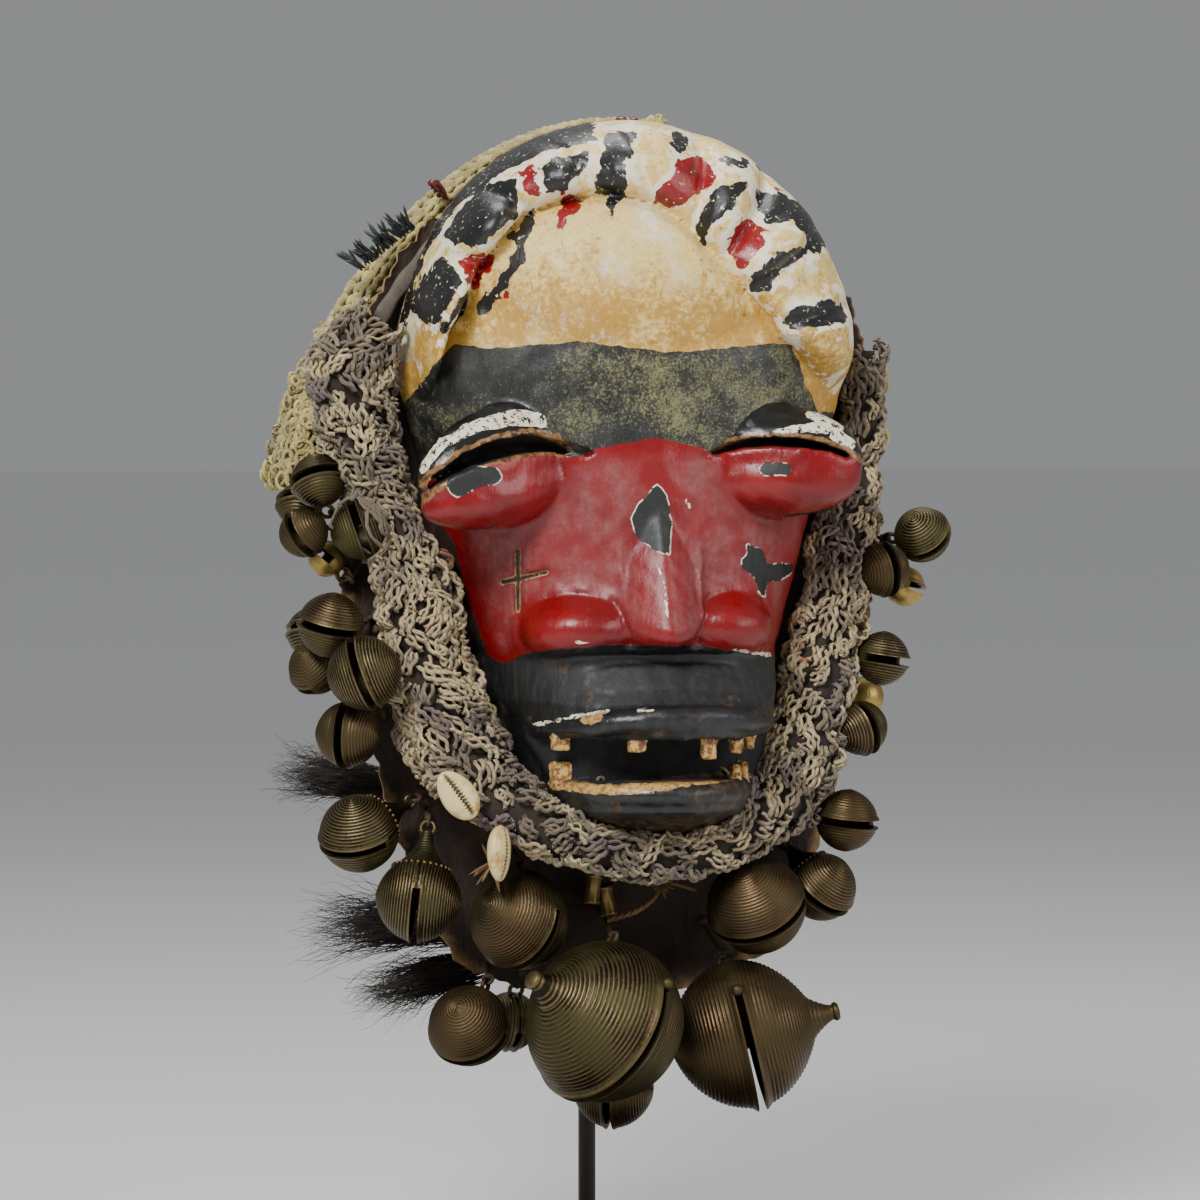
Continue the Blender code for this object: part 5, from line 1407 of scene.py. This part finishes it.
class MASK_OT_hood(bpy.types.Operator):
    """Crochets the cream edge of the hood"""

    bl_idname = "guere.crochet_hood"
    bl_label = "Hood edge"

    def execute(self, context):
        s = context.scene.guere_yarn
        hood = Hood()
        cloth = Gathered()
        i, r = np.meshgrid(np.arange(0, hood.count, 3), np.arange(28) / 28, indexing="ij")
        points = hood.at(i.ravel(), r.ravel(), 0.9 + 0.02 * np.sin(i.ravel() * 0.9))
        # The band under the stitches gets a deep of 0.35, painted shade between the stitches.
        cloth.add(points, grid_faces(len(i), 28), shade=0.35, deep=0.35, stain=-9.0)
        last = (len(i) - 1) * 28
        cloth.faces.append(np.arange(28)[None, ::-1])
        cloth.faces.append(np.arange(last, last + 28)[None])
        cotton = yarn_paint("cream cotton", s.cotton, dim(s.cotton, 0.62), dim(s.cotton, 0.8))
        band = finished("hood_cloth", cloth.mesh("hood_cloth"), [cotton], ("hood_edge",))
        stitches = finished("hood_stitches", self.stitches(hood).mesh("hood_stitches"), [cotton])
        return {"FINISHED"}

    def stitches(self, hood):
        """Rows of V stitches round the band, with loose loops where it frays at the ears."""
        chance = random.Random(5)
        out = Gathered(deep=0.0, stain=-9.0)
        rows, along = 16, int(hood.length / 5.2)
        for row in range(rows):
            for k in range(along):
                share_now = (k + 0.5 * (row % 2) + 0.25) / along
                i = int(share_now * (hood.count - 1))
                middle, beside = hood.at(i, (row + 0.5) / rows)[0], hood.at(i, (row + 1.0) / rows)[0]
                run = hood.along[i]
                across = beside - middle
                across = unit(across - run * (across @ run))
                normal = np.cross(run, across)
                if normal @ (middle - hood.middle[i]) < 0:
                    normal = -normal
                shade = chance.random()
                for way in (-1, 1):
                    a = middle - run * 2.9 + across * way * 0.35
                    b = middle + run * 0.2 + across * way * 1.7 + normal * (1.1 + chance.uniform(0, 0.4))
                    c = middle + run * 3.0 + across * way * 2.3 - normal * 0.3
                    path = smooth_path([a, b, c], 5)
                    points, faces = capped_tube(path, 1.15 * np.array([0.5, 0.95, 1, 0.95, 0.5]), 5)
                    out.add(points, faces, shade=shade * 0.9)
        for _ in range(330):
            end = chance.choice((0, 1))
            i = int(np.clip(abs(chance.gauss(0, 0.075)), 0, 0.25) * (hood.count - 1))
            i = i if end == 0 else hood.count - 1 - i
            turn = chance.random()
            middle = hood.at(i, turn, 1.04)[0]
            normal = unit(middle - hood.middle[i])
            down = unit(np.array((0.1, 0.0, -1.0)))
            path = curl(chance, middle, down, unit(np.cross(normal, down)), normal, 1.25)
            points, faces = tube(path, 0.85, 4)
            out.add(points, faces, shade=chance.random())
        return out


# The hide collar, its thongs and the fur
COLLAR_ANGLES = (35, 60, 90, 115, 132, 146, 160, 170, 180)
COLLAR_WIDTH_LEFT = (5, 14, 32, 44, 49, 62, 74, 62, 50)
COLLAR_WIDTH_RIGHT = (5, 12, 28, 38, 44, 56, 72, 60, 50)
COLLAR_LAP = 6
COLLAR_Y = RIM_Y + COLLAR_GAP
THONG_RADIUS = 1.1


def outline_reach(angle):
    """How far the mask's outline is from its centre, angle radians round from straight up."""
    reach = np.linspace(20, 160, 1401)
    inside = plan_square(reach * math.sin(angle), reach * math.cos(angle)) < 1
    return float(reach[inside].max())


class MASK_OT_hide(bpy.types.Operator):
    """Cuts the hide collar with its rough tan edge and ties the thongs"""

    bl_idname = "guere.cut_hide"
    bl_label = "Hide collar"

    def execute(self, context):
        s = context.scene.guere_dress
        out = Gathered()
        stations, bands = 300, 13
        angles = np.radians(-COLLAR_ANGLES[0] - (360 - 2 * COLLAR_ANGLES[0]) * np.linspace(0, 1, stations))
        across = np.linspace(0, 1, bands) ** 0.8
        rows = []
        for k, angle in enumerate(angles):
            from_top = abs((math.degrees(angle) + 180) % 360 - 180)
            widths = COLLAR_WIDTH_LEFT if angle > -math.pi else COLLAR_WIDTH_RIGHT
            width = float(np.interp(from_top, COLLAR_ANGLES, widths))
            ragged_edge = 1.1 * math.sin(k * 0.9) * math.sin(k * 0.23) + 0.7 * math.sin(k * 2.3) - 0.8
            start = outline_reach(angle) - COLLAR_LAP
            reach = start + (width + COLLAR_LAP + ragged_edge) * across
            spots = np.stack([math.sin(angle) * reach, 0 * reach, math.cos(angle) * reach], 1)
            curl_up = -1.6 * across**6 * (0.6 + 0.4 * math.sin(k * 0.17))
            ripple = 0.45 * np.sin(k * 0.31 + across * 5) * across
            spots[:, 1] = COLLAR_Y + 0.5 + curl_up + np.abs(ripple)
            rows.append(spots)
        front = np.array(rows)
        back = front + np.array((0.0, 1.9, 0.0))
        edge = np.tile(np.minimum(across, 1.0), stations)
        out.add(front, grid_faces(stations, bands, False), edge=edge, thong=0.0)
        out.add(back, grid_faces(stations, bands, False)[:, ::-1], edge=edge, thong=0.0)
        for column, value in ((bands - 1, 1.3), (0, 0.0)):
            rim = np.stack([front[:, column], (front[:, column] + back[:, column]) / 2, back[:, column]], 1)
            out.add(rim, grid_faces(stations, 3, False), edge=value, thong=0.0)
        for row in (0, stations - 1):
            out.add(np.stack([front[row], back[row]]), grid_faces(2, bands, False), edge=1.0, thong=0.0)
        self.thongs(out)
        mesh = out.mesh("hide_collar")
        finished("hide_collar.skin", mesh, [self.leather(s)], ("hide_collar",))
        return {"FINISHED"}

    def thongs(self, out):
        chance = random.Random(3)
        for bell in BELLS:
            _, front, top = bell_axes(bell)
            root = np.array((bell.anchor[0], COLLAR_Y + 1.2, bell.anchor[1]), float)
            tip = ring_end(bell) - top * 0.6
            sag = np.array((0.0, -0.3, -1.0)) * np.linalg.norm(tip - root) * 0.05
            path = smooth_path([root, (root + tip) / 2 + sag, tip], 12)
            rough = THONG_RADIUS * (0.9 + 0.12 * np.sin(np.arange(12) * 2.1 + chance.uniform(0, 6)))
            out.add(*tube(path, rough, 8), edge=0.0, thong=1.0)
            tie = ring_centre(bell) + top * (RING_RADIUS + 0.5)
            out.add(*loop(tie, top, front, 1.9, 0.8, 14, 6), edge=0.0, thong=1.0)
            out.add(*ball(root - np.array((0.0, 1.0, 0.0)), 2.0, 6, 9), edge=0.0, thong=1.0)
            out.add(*ball(tip - (tip - root) * 0.08, 1.7, 6, 9), edge=0.0, thong=1.0)

    def leather(self, s):
        mat, shader, n = blank("hide")
        grain, patch = n.noise(900.0, 4.0), n.noise(38.0, 5.0)
        hairs = n.noise(240.0, 4.0, 0.6, n.stretched((1.0, 1.0, 0.18)))
        base = n.mix(n.ramp(patch, 0.45, 0.7), s.hide, (0.060, 0.028, 0.014))
        base = n.mix(n.ramp(hairs, 0.5, 0.7, 0.0, 0.7), base, dim(s.hide, 0.3))
        rim = n.sum(n.number("edge"), n.times(n.less(patch, 0.5), 0.35))
        base = n.mix(n.ramp(rim, 0.93, 1.05), base, s.tan)
        twisted = n.mix(n.ramp(grain, 0.3, 0.7), (0.030, 0.018, 0.011), (0.10, 0.055, 0.028))
        base = n.mix(n.number("thong"), base, twisted)
        relief = n.bump(n.sum(grain, n.times(hairs, 1.4)), 0.6, 0.0009)
        n.feed(shader, {"Base Color": base, "Roughness": 0.72, "Normal": relief})
        return mat


# Fur tufts behind the collar: root and tip in carving units, and the root's radius
Tuft = namedtuple("Tuft", "name root tip radius")
TUFTS = (
    Tuft("left_upper_fur_tuft", (-84, 33, -114), (-128, 37, -104), 8),
    Tuft("left_lower_fur_tuft", (-54, 36, -166), (-116, 40, -164), 10),
    Tuft("left_bottom_fur_tuft", (-50, 34, -182), (-98, 36, -190), 8),
    Tuft("right_fur_tuft", (66, 33, -158), (88, 36, -152), 7),
)


class MASK_OT_fur(bpy.types.Operator):
    """Grows the tufts of black fur behind the collar"""

    bl_idname = "guere.grow_fur"
    bl_label = "Fur tufts"

    def execute(self, context):
        s = context.scene.guere_dress
        mat = speckled("black fur", 300.0, s.hair, (0.035, 0.024, 0.018), 0.5)[0]
        chance = random.Random(11)
        for tuft in TUFTS:
            out = Gathered()
            root, tip = np.array(tuft.root, float), np.array(tuft.tip, float)
            root[1] += COLLAR_Y + COLLAR_THICKNESS + COLLAR_GAP + tuft.radius - root[1]
            tip[1] += root[1] - tuft.root[1]
            reach = np.linalg.norm(tip - root)
            along = (tip - root) / reach
            side = unit(np.cross(along, (0.0, 1.0, 0.0)))
            other = np.cross(along, side)
            t = np.linspace(0, 1, 9)
            core = tuft.radius * (0.30 + 0.45 * np.sin(t * 2.6)) * (1 - t**3)
            out.add(*capped_tube(root + np.outer(t * reach * 0.8, along), core, 10))
            for _ in range(430):
                turn, off = chance.uniform(0, TURN), tuft.radius * math.sqrt(chance.random()) * 0.85
                spread = side * math.cos(turn) + other * math.sin(turn)
                start = root + spread * off + along * chance.uniform(0, reach * 0.35)
                long = reach * chance.uniform(0.45, 0.85)
                t = np.linspace(0, 1, 8)
                frizz = chance.uniform(0.4, 3.4)
                path = start + np.outer(t * long, along) + np.outer(t**1.6 * off * chance.uniform(-0.8, 1.5), spread)
                path = path + np.outer(np.sin(t * chance.uniform(5, 20) + turn) * frizz * t, side)
                path = path + np.outer(np.cos(t * chance.uniform(5, 18) + turn) * frizz * t, other)
                path = path + np.outer(t**2 * -chance.uniform(0, 5), (0.0, 0.0, 1.0))
                out.add(*tube(path, 0.24 * (1 - 0.8 * t), 3))
            finished(tuft.name + ".hair", out.mesh(tuft.name), [mat], (tuft.name,))
        return {"FINISHED"}


# Cowries: x, y and z of the middle, the long axis and the way the slotted face looks
Cowrie = namedtuple("Cowrie", "name x y z along face")
COWRIES = (
    Cowrie("upper_cowrie", -74.5, -27, -112, (0.62, 0.0, -0.78), (0.1, -1.0, 0.1)),
    Cowrie("lower_cowrie", -58.6, -28, -134, (0.05, 0.1, 1.0), (0.75, -0.6, 0.0)),
)
COWRIE_SIZE = (21.0, 13.5, 9.0)


class MASK_OT_shells(bpy.types.Operator):
    """Shapes the cowrie shells with their toothed slots"""

    bl_idname = "guere.shape_cowries"
    bl_label = "Cowries"

    def execute(self, context):
        s = context.scene.guere_dress
        mat, shader, n = blank("cowrie shell")
        stain = n.mix(n.ramp(n.noise(160.0, 4.0), 0.5, 0.72), s.shell, (0.42, 0.24, 0.07))
        # Painted shade: the pressed-in slot is coloured near black, as the shade inside the shell's opening; the brown
        # noise before it is stain.
        stain = n.mix(n.number("slot"), stain, (0.035, 0.014, 0.006))
        n.feed(shader, {"Base Color": stain, "Roughness": 0.3, "Normal": n.bump(n.noise(500.0), 0.2, 0.0004)})
        for cowrie in COWRIES:
            along = unit(cowrie.along)
            face = np.asarray(cowrie.face, float)
            face = unit(face - along * (face @ along))
            side = np.cross(face, along)
            length_now, width, height = COWRIE_SIZE
            t, turn = np.meshgrid(np.linspace(-1, 1, 90) * 0.999, np.arange(72) * TURN / 72, indexing="ij")
            belly = np.sqrt(1 - t**2) * (1 + 0.10 * t)
            y, z = width / 2 * belly * np.cos(turn), height / 2 * belly * np.sin(turn)
            z = np.where(z > 0, z * 0.7, z)
            inside = np.clip(1 - np.abs(t) / 0.93, 0, 1) ** 0.3
            teeth_now = 0.45 * np.cos(t * 48) * inside
            gap = np.clip(1.25 - np.abs(y + 0.5 * t) / (0.95 + teeth_now), 0, 1) * (z > 0) * inside
            z = z - 1.5 * gap
            points = np.array((cowrie.x, cowrie.y, cowrie.z)) + (t * length_now / 2)[..., None] * along
            points = points + y[..., None] * side + z[..., None] * face
            out = Gathered()
            out.add(points, grid_faces(90, 72)[:, ::-1], slot=np.clip(gap * 1.6, 0, 1).ravel())
            mesh = out.mesh(cowrie.name)
            finished(cowrie.name + ".shell", mesh, [mat], (cowrie.name,))
        return {"FINISHED"}


class MASK_OT_trim(bpy.types.Operator):
    """Adds what is tied to the hood and hide: beads, feathers, raffia, scraps, a strip of skin and brass tubes"""

    bl_idname = "guere.add_trim"
    bl_label = "Small trim"

    def execute(self, context):
        s = context.scene.guere_dress
        self.beads()
        self.feathers(s)
        self.raffia(s)
        self.scraps(context.scene.guere_yarn)
        self.strap()
        self.tube_of_brass()
        return {"FINISHED"}

    def beads(self):
        mat = speckled("dark red bead", 400.0, (0.16, 0.014, 0.010), (0.05, 0.006, 0.005), 0.3)[0]
        out = Gathered()
        beads = (((2, 23, 140.5), 3.2), ((7, 23.5, 140.8), 2.6), ((-106, 38, 62), 2.8), ((104, 34, 14), 2.2))
        for spot, radius in beads:
            out.add(*ball(spot, radius, 10, 16))
        for k in range(7):
            start = np.array((-68.0 + k * 0.8, 30.0 + k, 115.5 - k * 0.7))
            path = smooth_path([start, start + (-2.5, 0, 2.5 + k % 3), start + (-4, 1, 1.0 + k % 2)], 7)
            out.add(*capped_tube(path, 1.1))
        finished("hood_beads", out.mesh("hood_beads"), [mat])

    def feathers(self, s):
        mat = speckled("black feather", 220.0, s.hair, (0.02, 0.03, 0.03), 0.45)[0]
        chance = random.Random(17)
        out = Gathered()
        for _ in range(46):
            share_now = chance.random()
            start = np.array((-96.0 + 20 * share_now, 40 - 9 * share_now, 84 + 17 * share_now))
            lean = chance.uniform(-0.4, 0.5)
            way = unit((lean - 0.7, chance.uniform(-0.4, 0.4), 0.75 + chance.uniform(-0.5, 0.4)))
            bend = np.array((-0.8, 0.0, 0.1)) * chance.uniform(0, 3)
            reach = chance.uniform(5, 13)
            path = smooth_path([start, start + way * reach * 0.5 + bend * 0.4, start + way * reach + bend], 7)
            out.add(*capped_tube(path, 0.65, 4))
        finished("hood_feathers", out.mesh("hood_feathers"), [mat])

    def raffia(self, s):
        mat = speckled("raffia", 900.0, s.raffia, dim(s.raffia, 0.3), 0.8)[0]
        chance = random.Random(29)
        out = Gathered()
        for way in (-1, 1):
            t = np.linspace(0, 1, 40)
            path = smooth_path([(-9, 2, -163), (0, -2, -160), (9, 4, -156), (14, 10, -152)], 40)
            twist = way * np.stack([0 * t, np.sin(t * 34), np.cos(t * 34)], 1) * 0.55
            out.add(*tube(path + twist, 0.6, 6))
        for _ in range(26):
            way = unit([chance.uniform(-1, 1), chance.uniform(-1.2, 0.1), chance.uniform(-1, 1)])
            start = np.array((14.0, 10.0, -150.0))
            path = smooth_path([start, start + way * 3, start + way * chance.uniform(4, 7)], 6)
            out.add(*capped_tube(path, 0.5, 5))
        out.add(*capped_tube(smooth_path([(16, 10, -150), (22, 8, -151), (28, 7, -153)], 8), 0.9, 6))
        for _ in range(9):
            start = np.array((-58.0, -14.0, -138.0)) + chance.uniform(-1, 1)
            way = unit([chance.uniform(-1, 0.2), -0.4, chance.uniform(-1, 0.6)])
            path = smooth_path([start, start + way * 5, start + way * chance.uniform(8, 15)], 6)
            out.add(*capped_tube(path, 0.55, 5))
        finished("raffia_string", out.mesh("raffia_string"), [mat])

    def scraps(self, s):
        """Loose ends of the hood's cotton at the right ear and the crown."""
        chance = random.Random(31)
        out = Gathered(deep=0.0, stain=-9.0)
        for _ in range(64):
            z = chance.uniform(12, 50)
            middle = np.array((100 + 2.5 * math.sin(z * 0.3), 17 + chance.uniform(-1, 2), z))
            path = curl(chance, middle, unit((0.25, 0, -1)), np.array((1.0, 0, 0)), np.array((0.0, -1, 0)), 1.3)
            out.add(*tube(path, 0.9, 4), shade=chance.random())
        for _ in range(16):
            middle = np.array((13 + chance.uniform(-3, 3), 22.0, 140 + chance.uniform(-1, 1)))
            path = curl(chance, middle, unit((1, 0, 0.4)), np.array((0.0, 0, 1)), np.array((0.0, -1, 0)), 0.9)
            out.add(*tube(path, 0.8, 4), shade=chance.random())
        mat = yarn_paint("loose cotton", s.cotton, dim(s.cotton, 0.7), dim(s.cotton, 0.85))
        finished("cotton_scraps", out.mesh("cotton_scraps"), [mat])

    def strap(self):
        """A flat strip of skin between the hood and the mask's left temple."""
        mat, shader, n = speckled("grey skin strip", 260.0, (0.15, 0.12, 0.09), (0.05, 0.035, 0.025), 0.7, 5.0)
        n.feed(shader, {"Normal": n.bump(n.noise(500.0), 0.5, 0.0008)})
        path = smooth_path([(-62, 18, 105), (-73, 17, 94), (-84, 16, 81), (-93, 15, 68), (-97, 14, 58)], 40)
        run = np.gradient(path, axis=0)
        run /= np.linalg.norm(run, axis=1, keepdims=True)
        across = np.cross(run, (0.0, 1.0, 0.0))
        across /= np.linalg.norm(across, axis=1, keepdims=True)
        k = np.arange(40)
        wide = (2.8 + 0.3 * np.sin(k * 0.7))[:, None]
        deep = np.array((0.0, 0.9, 0.0))
        corners = ((-1, -0.4), (-0.6, -1), (0.6, -1), (1, -0.4), (1, 1), (-1, 1))
        rows = [path + across * wide * a + deep * b for a, b in corners]
        out = Gathered()
        out.add(np.stack(rows, 1), grid_faces(40, 6))
        finished("skin_strip", out.mesh("skin_strip"), [mat])

    def tube_of_brass(self):
        mat, shader, n = speckled("old brass", 300.0, (0.30, 0.20, 0.07), (0.10, 0.07, 0.03), 0.38)
        n.feed(shader, {"Metallic": 0.9})
        out = Gathered()
        foot = [(0, 2.6), (0, 3.5), (0.8, 3.9), (1.6, 3.4)]
        top = [(9, 3.2), (10.4, 3.7), (11.2, 3.9), (12, 3.4), (12, 2.6)]
        profile = foot + top + foot[:1]
        for start, axis in (((-14, 9, -157), (0.1, -0.1, 1)), ((-6, 11, -162), (-0.2, 0.0, 1))):
            out.add(*turned_rows(start, axis, profile, 28))
        finished("brass_tubes", out.mesh("brass_tubes"), [mat])


class MASK_OT_stand(bpy.types.Operator):
    """Gives the rod and base their dark rubbed paint"""

    bl_idname = "guere.paint_stand"
    bl_label = "Stand"

    def execute(self, context):
        s = context.scene.guere_dress
        mat, shader, n = blank("black steel")
        rub = n.ramp(n.noise(60.0, 6.0, 0.7), 0.60, 0.74)
        rough = n.ramp(n.noise(420.0, 5.0), 0.3, 0.7, 0.36, 0.44)
        n.feed(shader, {"Base Color": n.mix(rub, s.steel, dim(s.steel, 2.6)), "Metallic": 0.55, "Roughness": rough})
        n.feed(shader, {"Normal": n.bump(n.noise(1300.0), 0.12, 0.0002)})
        for name in ("stand_rod", "stand_base"):
            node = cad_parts[name]
            node.data.materials.clear()
            node.data.materials.append(mat)
        return {"FINISHED"}


# The stage: greys, how far the floor stays as it is before it is blended to a lighter grey, painted light that lets it
# meet the sky, and lamps as name, place from the mask, size and power
SKY = (0.68, 0.69, 0.70)
SKY_STRENGTH = 0.4
FAR_FLOOR_PAINTED_LIGHT = (0.93, 0.93, 0.93)
NEAR_FLOOR_REACH = 1.2
FLOOR_BLEND = 4.0
LAMPS = (
    ("key", (-0.9, -1.3, 1.15), 0.55, 44.0),
    ("fill", (1.3, -1.2, 0.6), 0.9, 12.0),
    ("top", (0.1, 0.5, 1.5), 0.8, 16.0),
)
AIM_ACROSS = -0.01216
AIM_HEIGHT = 0.268
SENSOR_WIDTH = 36


class MASK_OT_stage(bpy.types.Operator):
    """Sets the camera, the pale floor and the soft lights"""

    bl_idname = "guere.stage"
    bl_label = "Stage"

    def execute(self, context):
        s = context.scene.guere_stage
        right = Vector((math.cos(s.azimuth), math.sin(s.azimuth), 0))
        toward = Vector((math.sin(s.azimuth), -math.cos(s.azimuth), 0)) * math.cos(s.elevation)
        toward.z = math.sin(s.elevation)
        target = right * AIM_ACROSS + Vector((0, 0, AIM_HEIGHT))
        lens = bpy.data.cameras.new("camera")
        camera = bpy.data.objects.new("camera", lens)
        context.scene.collection.objects.link(camera)
        camera.location = target + toward * s.distance
        camera.rotation_euler = (-toward).to_track_quat("-Z", "Y").to_euler()
        lens.sensor_width = SENSOR_WIDTH
        lens.lens = SENSOR_WIDTH * s.distance / s.view_width
        lens.clip_start = 0.05
        context.scene.camera = camera
        self.floor(context, s)
        self.lights(context, target)
        return {"FINISHED"}

    def floor(self, context, s):
        bm = bmesh.new()
        bmesh.ops.create_grid(bm, x_segments=100, y_segments=100, size=30.0)
        mesh = bpy.data.meshes.new("floor")
        bm.to_mesh(mesh)
        bm.free()
        reach = np.array([spot.co.length for spot in mesh.vertices])
        paint(mesh, "far", np.clip((reach - NEAR_FLOOR_REACH) / FLOOR_BLEND, 0, 1))
        mat, shader, n = blank("pale floor")
        pale = n.mix(n.noise(3.0), s.floor, dim(s.floor, 0.97))
        # Painted light: past the near reach the floor is blended to a lighter grey so that it meets the sky.
        n.feed(shader, {"Base Color": n.mix(n.number("far"), pale, FAR_FLOOR_PAINTED_LIGHT), "Roughness": 0.8})
        mesh.materials.append(mat)
        floor = bpy.data.objects.new("floor", mesh)
        context.scene.collection.objects.link(floor)
        world = bpy.data.worlds.new("studio")
        world.use_nodes = True
        Nodes(world.node_tree).feed(world.node_tree.nodes["Background"], {"Color": SKY, "Strength": SKY_STRENGTH})
        context.scene.world = world

    def lights(self, context, target):
        for name, spot, size, power in LAMPS:
            lamp = bpy.data.lights.new(name, "AREA")
            lamp.size = size
            lamp.energy = power
            light = bpy.data.objects.new(name, lamp)
            light.location = target + Vector(spot)
            light.rotation_euler = (-Vector(spot)).to_track_quat("-Z", "Y").to_euler()
            context.scene.collection.objects.link(light)


class MASK_PT_panel(bpy.types.Panel):
    """Lists the pieces of the mask"""

    bl_idname = "MASK_PT_panel"
    bl_label = "Guere mask"
    bl_space_type = "VIEW_3D"
    bl_region_type = "UI"
    bl_category = "Guere mask"

    def draw(self, context):
        for piece in PIECES:
            self.layout.operator(piece.bl_idname)


GROUPS = {
    "guere_mask": MaskSettings,
    "guere_bells": BellSettings,
    "guere_yarn": YarnSettings,
    "guere_dress": DressSettings,
    "guere_stage": StageSettings,
}
PIECES = (
    MASK_OT_stage,
    MASK_OT_carve,
    MASK_OT_bells,
    MASK_OT_yarn,
    MASK_OT_hood,
    MASK_OT_hide,
    MASK_OT_fur,
    MASK_OT_shells,
    MASK_OT_trim,
    MASK_OT_stand,
)


def register():
    for name, group in GROUPS.items():
        bpy.utils.register_class(group)
        setattr(bpy.types.Scene, name, PointerProperty(type=group))
    for piece in (*PIECES, MASK_PT_panel):
        bpy.utils.register_class(piece)


def unregister():
    for piece in (MASK_PT_panel, *reversed(PIECES)):
        bpy.utils.unregister_class(piece)
    for name, group in GROUPS.items():
        delattr(bpy.types.Scene, name)
        bpy.utils.unregister_class(group)


def main():
    register()
    bpy.ops.guere.stage()
    bpy.ops.guere.carve_mask()
    bpy.ops.guere.cast_bells()
    bpy.ops.guere.lay_yarn()
    bpy.ops.guere.crochet_hood()
    bpy.ops.guere.cut_hide()
    bpy.ops.guere.grow_fur()
    bpy.ops.guere.shape_cowries()
    bpy.ops.guere.add_trim()
    bpy.ops.guere.paint_stand()


if __name__ == "__main__":
    main()
